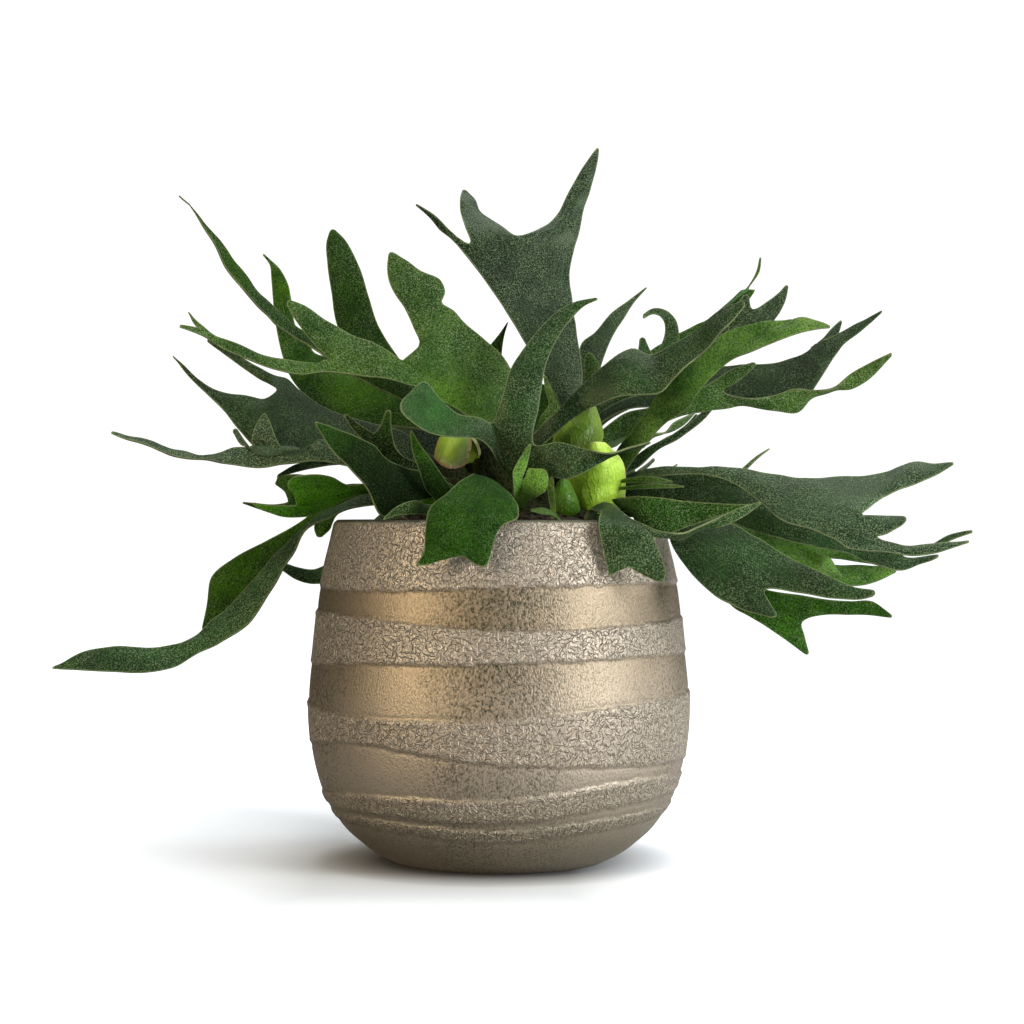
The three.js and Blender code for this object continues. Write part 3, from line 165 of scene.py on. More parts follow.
# A blade is a chain of rows from its root to its tip. A row is
# [left x, left height, right x, right height, depth, how much deeper its right end lies],
# and left is the left hand of one who follows the blade out with its drawn face up.
# Where a blade forks, its last row bends through its forks, each [x, height, depth], and a
# lobe starts on each stretch between them. A tilted blade leans back by its tilt.
FRONDS = [
    blade("frond_top", "grey", [
        [37, 230, 43, 230, 6], [35, 236, 41, 236, 8], [33, 246, 42, 247, 10, 2],
        [26, 260, 44, 262, 14, 5], [15, 279, 42, 280, 21, 9], [2, 300, 38.5, 300, 29, 14],
        [-12, 320, 37.5, 320, 38, 20], [-21, 331, 39.5, 330, 43, 22],
    ], [[-16, 332.5, 34], [9, 335.5, 44]], [
        [[-30, 340, -25, 339.5, 32], [-37, 347, -33, 347.5, 27], [-44, 353.5, -43, 354, 20]],
        [[-18, 342, -1, 343.5, 42, 5], [-20.5, 351, -10, 350.5, 47, 3], [-20.5, 358, -13, 357, 52, 2],
         [-19.5, 361, -17, 361, 55]],
        [[24, 342, 42.5, 339, 54, 6], [31, 349, 45, 350, 59, 5], [36.5, 360, 48, 361, 64, 4],
         [43, 371, 50.5, 371, 70, 3], [51.5, 383, 52.5, 382.5, 78]],
    ], look=("grey", -0.4, 0.34, 0.33, 0.0)),
    blade("frond_front_upright", "dark", [
        [9, 196, 17, 196, -8], [9, 203, 17, 203, -17], [6, 209, 20, 207, -26], [0, 218, 24, 208.5, -36],
        [-9, 229, 28, 210, -46],
    ], [[-3, 240, -46], [19.5, 229, -46]], [
        [[-15, 230.3, -10, 241, -50], [-24, 230.6, -22, 243.5, -54], [-33, 231.8, -31, 251.5, -57],
         [-42, 235.5, -40, 260.5, -62], [-49, 241, -48.5, 253.5, -66]],
        [[2, 252, 21, 247, -48], [6, 266, 24.5, 268, -47], [14, 279, 31, 283, -45],
         [24, 291, 38, 293, -43], [36, 301, 45, 300, -42], [51, 304.3, 52, 303.3, -42]],
        [[32, 228, 36, 208.5, -50], [44, 225, 47, 213, -53], [57, 223, 58, 219.8, -56, 8],
         [70, 226.5, 70, 224.5, -58, 6], [80, 228.3, 80, 227.3, -60]],
    ], tilt=0.2),
    blade("frond_young_front", "pale", [
        [9, 189, 13, 189, -13], [9, 193, 13, 193, -24], [8, 197, 15, 197, -40],
        [7.5, 206, 22, 200.5, -58],
    ], [[13, 209, -57]], [
        [[7.5, 213, 14.5, 214.5, -60], [11, 219.5, 16, 220.5, -62], [15.8, 227, 17, 227, -64]],
        [[16, 214.5, 25.5, 204, -60], [19.5, 214, 26, 209, -61]],
    ], look=("pale", 2.0, 0.5, 0.5, 0.0)),
    blade("frond_front_hanging", "fresh", [
        [3, 194, -6, 195, -6], [3, 199, -7, 200, -18], [3, 203, -11, 205, -45], [5, 202, -15, 210.5, -72],
        [10.5, 194, -29, 199, -88], [9.5, 188, -37, 191, -95], [2, 184, -38.5, 182, -98],
        [-3, 175, -39, 172, -98],
    ], [[-20, 168, -99]], [
        [[-4.5, 169, -15, 165.5, -99], [-6.5, 164, -11, 163.5, -99]],
        [[-31, 166, -40, 169, -99], [-37, 164, -43, 164, -99]],
    ], look=("fresh", -0.12, 0.2, 0.75, 0.0)),
    blade("frond_front_rim", "pale", [
        [-20, 188, -21, 193, -10], [-22, 191, -24, 197, -24], [-36, 189.5, -38, 195.5, -60],
        [-46, 190, -47, 197, -75], [-54, 189.5, -55, 193.5, -80], [-61, 187, -60.5, 188.5, -84],
    ]),
    blade("frond_left_mid", "dark", [
        [-24, 195, -22, 203, -8], [-30, 199, -28, 207, -16], [-42, 197, -40, 212, -26],
        [-55, 192, -52, 215.3, -40], [-63, 190, -61, 220, -54], [-69, 203, -67, 226.5, -60],
        [-78, 213.5, -76, 231.3, -66], [-88, 223, -86, 235.3, -72], [-97, 237.5, -96.5, 239, -78],
    ], tilt=0.35, look=("fresh", -0.4, 0.1, 0.75, 0.1)),
    blade("frond_left_narrow", "fresh", [
        [-31, 190, -26, 194, -12.5], [-33, 197, -25, 203, -24], [-39, 204, -29, 209, -34],
        [-42.5, 214, -35, 218, -42], [-46, 224, -41, 226, -46], [-47, 233.5, -46, 234, -50],
    ], look=("fresh", -0.1, 0.15, 0.7, 0.1)),
    blade("frond_left_antler_small", "fresh", [
        [-30, 203, -26, 208, -8], [-38, 206, -34, 212, -16], [-50, 212, -45, 218, -22],
        [-62, 220, -52, 222, -27], [-72, 229, -56, 230, -31],
    ], [[-66, 233, -31]], [
        [[-78, 236, -73, 236.5, -34], [-82, 242, -80.5, 242.5, -36]],
        [[-62.5, 236, -57, 235.5, -32], [-59.5, 244, -57.5, 244, -33]],
    ], tilt=0.4, look=("fresh", -0.5, 0.2, 0.6, 0.2)),
    blade("frond_left_big", "dark", [
        [-28, 207, -28, 216, 3], [-38, 212, -38, 222, 2], [-50, 218, -50, 232.5, 2],
        [-65, 221, -65, 237.5, 2], [-82, 224, -84, 243.5, 1], [-97, 223, -99, 250.5, 0],
        [-112, 222, -111, 261, -2], [-128, 225, -118, 263.5, -4],
    ], [[-118, 254.5, -4]], [
        [[-138, 235, -124, 251, -6], [-145, 244, -137, 253, -9], [-153, 252, -150, 255.5, -12],
         [-163, 261.5, -159, 261.5, -15], [-172.5, 273.5, -172, 274.5, -20]],
        [[-127, 261.5, -128, 268, -2], [-140, 270.5, -139, 274, 0], [-154, 281, -153.5, 282.5, 3]],
    ], tilt=0.7, look=("dark", -0.35, 0.28, 0.5, 0.0)),
    blade("frond_left_felty", "grey", [
        [-29, 200, -29, 206, -4], [-40, 203, -40, 211, -6], [-60, 209, -60, 217, -12],
        [-80, 215, -80, 225, -18], [-95, 218, -94, 230, -22], [-130, 215.3, -112, 219.5, -24],
    ], [[-134, 225, -24], [-130.5, 224, -24]], [
        [[-142, 216.3, -142, 225.5, -26], [-152, 218.2, -152, 221.8, -28, 5],
         [-165, 220.5, -165, 223, -30, 6], [-180, 223.5, -180, 226, -33, 5],
         [-192, 227, -192, 229.5, -36, 4], [-205, 232.5, -204.5, 233.5, -40]],
        [[-136, 226.5, -132.5, 227, -24], [-141, 233.5, -138.5, 235.3, -22]],
        [[-131, 231, -118, 231, -30], [-128.5, 238, -121, 239, -31], [-125.5, 242.5, -123, 243, -32]],
    ], tilt=0.5, look=("grey", -0.05, 0.55, 0.5, 0.3)),
    blade("frond_left_dark_strap", "dark", [
        [-29, 202, -29, 208, 7], [-42, 204, -42, 210, 7], [-62, 212, -62, 218, 8],
        [-82, 216.3, -82, 221.5, 5], [-97, 214.8, -97, 219, 0], [-108, 212, -107, 216.3, -6],
        [-117.3, 209.3, -116.8, 210.8, -12],
    ], tilt=0.6),
    blade("frond_light_green", "fresh", [
        [8, 216, 14, 221, -1], [6, 224, 13, 229, -4], [0, 233, 14, 242, -8], [-12, 240, 10, 256, -11],
        [-28, 249, 4, 270.5, -14], [-45, 258, -20, 293, -16],
    ], [[-51, 270.5, -16]], [
        forked([
            [-60, 261.5, -60, 277, -20], [-75, 263.5, -74, 283.5, -22], [-92, 265.5, -86, 289.5, -24],
        ], [[-91, 271.5, -24]], [
            forked([
                [-104, 264, -103, 271.3, -26], [-118, 266.5, -118, 273.3, -29],
                [-132, 271.5, -132, 277.7, -32], [-147, 278, -146, 282.5, -35],
                [-154, 282.5, -153, 286, -37],
            ], [[-158, 287.5, -38]], [
                [[-162, 286, -161, 288.2, -40], [-169, 288.6, -168.7, 289.5, -43]],
                [[-160, 289, -158.5, 290.5, -38], [-164.5, 296.5, -164, 297.2, -38]],
            ]),
            [[-97, 279, -93, 293.5, -25], [-104, 287.5, -100, 298, -27],
             [-109.5, 295.5, -106, 301.5, -28], [-112, 300.5, -110, 303, -29]],
        ]),
        [[-42.3, 278.5, -24, 297, -17], [-45, 288, -30.5, 301.5, -18], [-50, 299, -28.8, 308, -19],
         [-54.5, 305.5, -32, 314, -20], [-58, 313, -41, 318, -21], [-59, 321, -49, 324, -22],
         [-58.3, 327, -55.5, 328, -23]],
    ], tilt=0.45, look=("pale", -0.2, 0.45, 0.6, 0.0)),
    blade("frond_dark_finger", "dark", [
        [-6, 218, 2, 220, 15], [-12, 224, -2, 228, 18], [-34, 240, -22, 246, 27],
        [-58, 256, -44, 262, 36], [-80, 275, -55, 275, 40], [-86, 291, -63, 288, 42],
        [-88.5, 308, -69, 305, 44], [-90.5, 322, -74.5, 322, 47], [-91, 333, -81, 334, 50],
        [-89.5, 339, -86.5, 340, 52],
    ], tilt=0.3, look=("fresh", -0.35, 0.28, 0.55, 0.1)),
    blade("frond_long_thin", "fresh", [
        [-2, 215, 5, 220, 5], [-6, 222, 0, 228, 6], [-30, 238, -26, 245, 6], [-60, 255, -56, 262, 6],
        [-85, 268, -80, 275, 6], [-102, 280, -99, 284, 6, 4], [-115, 289, -112, 295, 4, 6],
        [-127, 299.5, -123, 304, 0, 8], [-138, 311.5, -133, 316, -4, 8],
        [-148, 326.5, -143.5, 328.5, -8, 6], [-156, 341, -152.5, 339.5, -10, 4],
        [-162, 350.5, -160.5, 350.3, -12], [-169, 358.3, -168.5, 358.8, -14],
    ], tilt=0.8, look=("fresh", -0.35, 0.3, 0.8, 0.7)),
    blade("frond_left_inner", "dark", [
        [-4, 222, -4, 230, 11], [-10, 226, -10, 234, 12], [-30, 232, -28, 246, 15],
        [-50, 236, -48, 258, 18], [-75, 238.5, -70, 266, 22], [-98, 249, -88, 272, 26],
        [-110, 262, -98, 276, 30], [-115, 275, -101, 283, 34], [-118, 289, -107.5, 290, 38],
        [-119.5, 303, -109.8, 303, 42], [-120.5, 314, -112, 313, 44], [-121.5, 322, -117, 321.5, 46],
        [-125, 327, -124, 327.7, 48],
    ], tilt=0.6, look=("fresh", 0.35, 0.3, 0.5, 0.7)),
    blade("frond_left_low_bright", "fresh", [
        [-30, 193, -30, 199, -8], [-40, 196, -40, 202, -12], [-55, 199, -55, 205, -20],
        [-70, 200.5, -70, 206, -28], [-80, 198, -80, 205.5, -32], [-90, 193, -88, 209.5, -35],
        [-103, 189.3, -104, 210.8, -38],
    ], [[-107, 196.5, -38]], [
        [[-112, 189.6, -112, 195, -41], [-122, 191.7, -121, 195.2, -44], [-130, 195.6, -129.7, 196.4, -47]],
        [[-107.5, 201, -108.5, 210, -38], [-110.5, 204.5, -110.5, 207.5, -38]],
    ], tilt=-0.5, look=("fresh", 1.5, 0.25, 0.5, 0.3)),
    blade("frond_left_low_long", "dark", [
        [-28, 190, -28, 197, -2], [-38, 193, -38, 200, -4], [-60, 195, -60, 202, -8],
        [-80, 192.5, -80, 197, -12, 6], [-92, 186.5, -94, 190, -15, 10],
        [-101, 181, -104.5, 182, -18, 12], [-110, 166.5, -117, 170.5, -22, 10],
        [-120, 150.5, -131, 155.5, -26, 8], [-133, 132, -144, 141, -30, 6],
        [-147, 122.5, -155, 131, -34, 3], [-160, 116, -163, 124.5, -38], [-172, 109, -174, 120.3, -42],
        [-186, 106.2, -186, 119.3, -46], [-203, 106.7, -203, 120, -50], [-219, 107.6, -219, 117.8, -54],
        [-236, 108.3, -235.5, 109.8, -58],
    ], tilt=0.5, look=("dark", 0.1, 0.4, 0.45, 0.0)),
    blade("frond_left_low_back", "fresh", [
        [-28, 192, -28, 198, 9], [-38, 196, -38, 203, 10], [-60, 199, -60, 206, 10],
        [-78, 195, -78, 201, 9], [-86, 189, -89, 198, 8],
    ], [[-91, 190, 8]], [
        [[-88, 185, -97, 186, 9], [-90, 181.5, -97.5, 181.5, 10], [-94, 179, -96, 179, 10]],
        [[-103, 181.5, -105, 186, 6], [-113, 171, -124, 175.5, 4], [-121, 160, -140, 167, 4],
         [-128, 150, -152, 157, 2], [-138, 141, -154, 144, 0], [-150, 128, -157, 130, -4]],
    ], tilt=-0.4, look=("fresh", 0.35, 0.3, 0.5, 0.6)),
    blade("frond_behind_pot", "dark", [
        [0, 194, 0, 200, 14], [-8, 198, -8, 205, 24], [-20, 202, -22, 209, 50], [-40, 198, -42, 206, 78],
        [-62, 178, -66, 188, 96], [-80, 158, -84, 168, 102], [-98, 153, -98, 160.3, 100],
        [-108, 155.5, -108, 161.5, 94], [-117, 162, -116, 165, 88],
    ], tilt=0.3),
    blade("frond_right_front", "grey", [
        [10, 218, 16, 214, -8], [14, 226, 19, 222, -12], [21, 235, 27, 230, -15],
        [33, 246.5, 42, 242.5, -19], [46, 259.5, 54, 248.5, -23], [59, 270.5, 66, 252.7, -26],
        [70, 277.2, 75, 253.3, -27], [81, 274.8, 85, 254.5, -30], [90, 279, 92, 261.5, -32],
        [101, 285.5, 103, 271.5, -34], [111, 293, 112, 279, -36], [120, 299, 120.5, 288.5, -38],
        [128.5, 302.3, 129.8, 299.5, -40],
    ], tilt=0.7, look=("dark", -0.05, 0.36, 0.36, 0.0)),
    blade("frond_hook", "dark", [
        [42, 232, 47, 232, 16.5], [42, 238, 48, 238, 16.5], [56, 251, 62, 246, 17],
        [70, 265, 78, 259, 18], [73, 272, 92, 272, 17],
    ], [[82, 274, 17]], [
        [[74, 278, 79, 278, 17], [74.5, 282, 77, 282.5, 17]],
        [[88, 287, 95, 286.5, 15], [87.3, 291.8, 93, 293, 14], [85, 294.7, 88.5, 297.3, 12],
         [81, 295.6, 82, 298, 11], [76, 293.3, 76.3, 294.5, 10]],
    ], tilt=0.4),
    blade("frond_right_long", "grey", [
        [52, 203, 55, 197, 9.5], [58, 206, 62, 201, 9.5], [62, 222, 68, 214, 9],
        [70, 233.5, 79, 228.5, 0], [78, 244, 89, 238.8, -6], [84, 254, 99, 245.5, -15],
        [93, 264.5, 108, 257.5, -20], [107, 275, 121, 270, -22], [124, 288, 134, 276.5, -24],
    ], [[143, 287.5, -24]], [
        [[138, 291.2, 146, 288.5, -26], [154.5, 293.2, 155, 291.8, -28]],
        [[149, 290.5, 147, 281.5, -26], [160, 294, 158, 285.5, -28], [168, 292.3, 167.5, 287.5, -30],
         [175, 289.2, 174.8, 288.3, -32]],
    ], tilt=0.6, look=("pale", 0.7, 0.35, 0.33, 0.2)),
    blade("frond_right_dark", "dark", [
        [46, 236, 46, 231, 11], [54, 243, 54, 238, 10], [66, 250, 67, 245, 10], [80, 254, 82, 247, 14],
        [100, 262, 104, 249, 20], [120, 268, 124, 249.5, 22], [136, 268.7, 140, 249, 23],
        [150, 270, 152, 250, 24], [166, 277.5, 165, 254.5, 24],
    ], [[172, 281, 25]], [
        [[175, 286.5, 178, 283.5, 27], [180.5, 292.3, 181.3, 291.3, 30]],
        [[178, 284.3, 174, 267.5, 24], [186, 288.3, 181, 278.5, 23], [194, 293, 191, 286.3, 22],
         [202.3, 297.5, 202.5, 296.5, 21]],
    ], tilt=0.6, look=("dark", -0.55, 0.22, 0.6, 0.0)),
    blade("frond_right_pale", "pale", [
        [46, 226, 47, 220, 9], [54, 234, 55, 227, 8], [66, 243, 66, 231, 6], [80, 246.5, 82, 236.5, 4],
        [98, 252.5, 100, 242.5, 2], [113, 260, 118, 245.5, 1],
    ], [[119, 254.5, 1]], [
        [[123, 266.5, 127.5, 260.5, 0], [134, 270.3, 135.8, 268.5, -2]],
        [[131, 250.5, 131, 246, -1, 4], [145, 252.5, 146, 244.3, -2], [156, 256, 158, 243.5, -3],
         [167, 254.8, 166, 250.5, -4, 5], [177, 257, 178, 254.8, -5, 5], [187, 265, 188, 257, -6],
         [197, 270.5, 197, 262.5, -8], [207.3, 275.5, 207.5, 274, -10]],
    ], tilt=-0.5, look=("pale", 0.15, 0.7, 0.5, 0.0)),
    blade("frond_right_back_light", "fresh", [
        [38, 236, 43, 233, 25.5], [43, 245, 49, 242, 28], [62, 262, 70, 256, 33], [84, 279, 92, 272, 37],
        [102, 288.5, 110, 280, 41], [120, 299.5, 128, 297, 44],
    ], [[129.5, 308.5, 45]], [
        [[131.5, 311.5, 133.3, 311.5, 46], [136, 318.5, 138, 318.5, 48], [137.8, 325.8, 139, 325.5, 50]],
        [[131.5, 309.8, 132.5, 303.5, 45], [134.5, 309.6, 135.3, 307.5, 45]],
    ], tilt=0.5),
    blade("frond_right_back_dark", "dark", [
        [44, 232, 48, 228, 20.5], [50, 240, 54, 236, 22], [72, 256, 78, 250, 25], [95, 272, 100, 262, 28],
        [112, 285, 118, 274, 29], [122, 293, 138, 285, 30],
    ], [[135, 298, 30]], [
        [[127, 301.5, 133, 299.5, 29], [129.5, 305.3, 132, 304.5, 28]],
        [[141, 301.5, 146, 293, 31], [148, 307, 150.5, 300.5, 32], [151.5, 311.3, 153.3, 310.5, 34]],
    ], tilt=0.5, look=("dark", -0.6, 0.35, 0.6, 0.0)),
    blade("frond_behind_top", "dark", [
        [38, 228, 44, 226, 28], [36, 238, 43, 236, 32], [40, 255, 50, 252, 38, 3],
        [42.5, 270, 54, 268, 44, 5], [44, 281, 58, 280, 49, 6], [51, 286.5, 62, 288, 52, 6],
        [60, 297, 66, 294.5, 56, 4], [69, 303.3, 71, 301.5, 60], [77.5, 310, 78.3, 309.5, 64],
    ], look=("dark", -0.35, 0.35, 0.5, 0.4)),
    blade("frond_small_light", "pale", [
        [41.5, 233, 45, 232, 3.5], [42, 246, 46, 245, 5], [45.5, 256, 49.5, 255, -2],
        [45.5, 264, 51, 262.5, -6], [45, 270.5, 53, 269.5, -7], [46, 274.5, 49.5, 274.5, -8],
    ]),
    blade("frond_young_stalk", "pale", [
        [12, 220, 17, 218, 4], [18, 231, 23, 229, 2], [22, 241, 28, 239, 2], [26.5, 248, 32, 245, 3],
        [24.5, 256, 29, 252.5, 3], [23.5, 263, 24.8, 263, 4],
    ]),
    blade("frond_right_small_pair", "dark", [
        [54, 206, 56, 202, 17], [62, 213, 63, 209, 17.5], [72, 220, 74, 215, 15.5],
        [80, 226, 84, 223.8, 13], [93, 233, 96, 230.5, 11],
    ], [[98.5, 235.6, 10]], [
        [[98, 236.5, 100.5, 237.2, 10], [104, 242.3, 105, 241.8, 10]],
        [[101, 238, 103, 235.5, 10], [107, 243, 109, 240.5, 10], [111.8, 245.8, 112.6, 244.8, 10]],
    ], tilt=0.5),
    blade("frond_right_large", "grey", [
        [50, 204, 50, 199, 4], [62, 208, 62, 203, 4], [69, 210.5, 69, 205.5, 3],
        [78, 213.5, 78, 208.5, -10], [90, 215, 91, 210.5, -19], [105, 215.2, 108, 211, -26],
        [120, 214.6, 124, 206.5, -30], [134, 212.8, 139, 196, -34], [149, 210, 150, 186.5, -38],
        [165, 209, 163, 182.5, -42], [182, 210, 177, 177, -46], [202, 211.5, 186, 171.5, -48],
    ], [[191.5, 188, -48], [200, 176.5, -48]], [
        [[213, 215.3, 207, 200.5, -50], [222, 218, 219, 205.3, -52], [231, 216.8, 230, 210, -54],
         [240, 217, 240, 215.8, -56]],
        [[203, 189.3, 205, 179.5, -52], [214, 188.8, 213, 184, -54]],
        [[210, 174.6, 205, 169.8, -50], [228, 174.8, 226, 169, -52], [248.3, 175.8, 248.3, 174.8, -55]],
    ], tilt=0.7, look=("grey", 0.2, 0.45, 0.35, 0.0)),
    blade("frond_right_large_back", "dark", [
        [50, 201, 50, 194, 11.8], [62, 206, 62, 199, 11.8], [76, 209, 78, 201, 5], [92, 210, 98, 198, -4],
        [108, 209.5, 116, 189, -9], [124, 206, 134, 181.5, -12], [140, 198, 150, 177, -14],
        [160, 188, 170, 172.5, -16], [178, 179, 185, 169, -18], [196, 175, 198, 163, -20],
    ], [[212, 170, -21]], [
        [[228, 174.5, 230, 171.5, -23], [240, 180, 241, 177, -25], [250, 181, 250.3, 180, -27]],
        [[214, 168, 208, 160.5, -22], [232, 169, 226, 164.3, -23]],
    ], tilt=0.5, look=("dark", -0.05, 0.3, 0.45, 0.0)),
    blade("frond_right_between", "dark", [
        [50, 198, 50, 192.5, 16], [64, 199, 64, 193, 15.5], [80, 199.5, 80, 192.5, 11],
        [96, 197.5, 98, 187, 5], [112, 192, 116, 180, 1], [130, 187, 134, 172, -2],
        [146, 181, 150, 166, -5], [160, 175, 163, 160, -8],
    ], [[168, 168, -8], [170, 163.5, -8]], [
        [[178, 171.5, 179, 166.5, -9], [195, 168, 195, 164, -11], [210, 164, 210, 163, -13]],
        [[174, 168, 169, 162.5, -15], [179, 161, 176, 158.5, -20], [181.5, 157.5, 180.5, 157, -22]],
        [[180, 162.5, 174, 156, -8], [192, 163, 187, 152, -9], [203, 162, 200, 154.5, -10],
         [210, 160, 209.5, 159, -11]],
    ], tilt=0.3, look=("pale", 2.0, 0.8, 0.5, 0.0)),
    blade("frond_right_low_front", "dark", [
        [50, 197, 50, 190, 4], [62, 198, 62, 191, 3.5], [69, 198, 69, 191, 2], [78, 198, 78, 190.5, -18],
        [88, 197.5, 88, 188.5, -32], [100, 194.3, 92, 173, -44], [115, 189, 101, 159.5, -52],
        [131, 180.5, 111, 149.5, -58], [147, 171, 120, 143.5, -62],
    ], [[141, 149.5, -62]], [
        [[163, 162, 158, 148.5, -66], [178, 154.5, 175, 145.5, -70], [190, 151, 192, 145, -73],
         [198, 150, 197.5, 146.5, -75]],
        [[144, 142.5, 131, 139, -64], [146.8, 138, 143.5, 135.5, -65]],
    ], tilt=0.45, look=("dark", -0.1, 0.3, 0.45, 0.0)),
    blade("frond_right_low_bright", "fresh", [
        [50, 194, 50, 188.7, 10], [64, 194, 64, 188.7, 9], [80, 193, 80, 188.8, 0],
        [88, 192.5, 88, 188.3, -7], [97, 185.5, 94, 177.5, -16], [105, 178, 100, 168, -24],
        [120, 164, 112, 152, -34], [136, 152, 126, 140, -42], [160, 147, 142, 130, -50],
    ], [[161, 133, -50]], [
        [[172, 145, 172, 136.3, -54], [186, 143.8, 187, 136.5, -58], [198, 143.5, 199, 136, -61],
         [207.5, 137, 207.3, 135.3, -64]],
        [[162, 126, 151, 123.5, -52], [164.3, 117, 161, 116, -54]],
    ], tilt=-0.3, look=("fresh", 0.5, 0.3, 0.5, 0.0)),
    blade("frond_right_front_small", "grey", [
        [50, 187, 44, 184, -15], [53, 194, 47, 190.5, -24], [60, 195, 53, 191, -45],
        [66, 190, 54, 190, -66], [84, 181.5, 53, 182, -80],
    ], [[82, 177, -80]], [
        [[96, 180.8, 95, 177.5, -78, 4], [110, 185.5, 110, 183, -76, 6], [122, 191, 121, 184.8, -75],
         [131, 194.5, 131, 190.3, -74], [138, 196.5, 138, 195.3, -73]],
        forked([
            [84.5, 171.5, 55, 173, -80], [87.5, 161.5, 57, 165, -80],
        ], [[68, 162.5, -80]], [
            [[88, 159, 76, 158.3, -81], [87, 155.3, 83, 155.3, -81]],
            [[63, 161.5, 58, 160, -80], [59.5, 158.5, 58, 158, -80]],
        ]),
    ], look=("dark", 0.0, 0.5, 0.5, 0.2)),
    blade("frond_young_back", "fresh", [
        [3, 216, 8, 216, 19], [2, 228, 7, 228, 22], [-3, 246, 4, 246, 28], [-7, 262, 2, 263, 33],
        [-8, 272, 1.5, 274, 36], [-4, 281, 3, 285, 38], [3.8, 291.5, 5, 292, 40],
    ]),
    blade("frond_far_upright_right", "dark", [
        [28, 192, 36, 192, 20], [27, 206, 37, 207, 27], [20, 226, 38, 227, 40], [15, 246, 36, 247, 52],
        [16, 256, 33, 258, 58],
    ], [[24, 258, 58]], [
        [[14.5, 263, 20, 264, 63], [14, 269, 15, 269, 67]],
        [[27, 265, 32, 264, 62], [31, 271, 32, 271, 66]],
    ], look=("fresh", 0.0, 0.3, 0.5, 0.3)),
    blade("frond_far_upright_left", "dark", [
        [-29, 197, -22, 197, 15], [-32, 210, -18, 210, 22], [-42, 226, -17, 227, 36],
        [-48, 240, -16, 242, 50],
    ], [[-32, 246, 54]], [
        [[-50, 250, -39, 251, 59], [-52, 258, -50, 258.5, 66]],
        [[-28, 251, -19, 250, 58], [-24, 260, -22, 260, 64]],
    ]),
]

# Shields, drawn in the same way. Their looks say how much lighter, how deep a green and how
# dry at the rim they are. How much lighter and how deep a green are partly painted light and
# shade, for how lit or shaded each shield stands.
SHIELDS = [
    blade("shield_upper", "shield", [
        [29, 226, 53, 227, 3], [30, 232, 54.5, 232, 2.5], [34, 238, 53.5, 238, 2],
        [40, 243.5, 51.5, 244.5, 1], [44, 246.5, 50, 248, 0],
    ], arch=0.42, look=(-0.25, 0.25, 0.0)),
    blade("shield_lower", "shield", [
        [38, 187, 63, 192, 2, -6], [36, 196, 65.5, 197, 0, -6], [36, 205, 66.5, 206, -1, -6],
        [37, 212, 66.5, 213, -3, -6], [40, 218, 64.5, 219, -6, -4], [43, 223, 60, 224, -9, -2],
        [46, 227, 56, 227.5, -11, 0],
    ], arch=0.42, look=(0.75, 0.1, 0.0)),
    blade("shield_small", "shield", [
        [30, 186, 41, 186, -12], [29, 193, 42, 193, -14], [29, 200, 40, 200, -15],
        [31, 206, 37, 206.5, -14],
    ], arch=0.35, look=(-0.45, 0.75, 0.0)),
    blade("shield_hanging", "shield", [
        [-9, 217, -21, 215, 2], [-12, 228, -28, 227, -7], [-15, 231, -31, 230, -13],
        [-15, 226, -33, 225, -17], [-18, 216, -34, 220, -20],
    ], arch=0.25, look=(-0.4, 0.0, 1.0)),
]

# Guessed fronds of the far side: a name, the drawn blade that is copied, its turn about the
# upright axis in degrees, the new place of its root and its size
FAR_FRONDS = [
    ("frond_far_right", "frond_right_large", 34, (48, 21, 184), 0.85),
    ("frond_far_right_inner", "frond_left_felty", -126, (42, 20, 188), 0.8),
    ("frond_far_right_upper", "frond_right_pale", 64, (41, 30, 204), 0.75),
    ("frond_far_middle", "frond_left_big", -104, (20, 24, 194), 1),
    ("frond_far_middle_low", "frond_left_low_back", -84, (4, 22, 189), 1.08),
    ("frond_far_left_upper", "frond_right_dark", 116, (-6, 22, 207), 0.95),
    ("frond_far_left_inner", "frond_left_low_long", -76, (-22, 18, 187), 0.85),
    ("frond_far_left", "frond_left_low_bright", -28, (-32, 14.5, 188), 1.05),
]

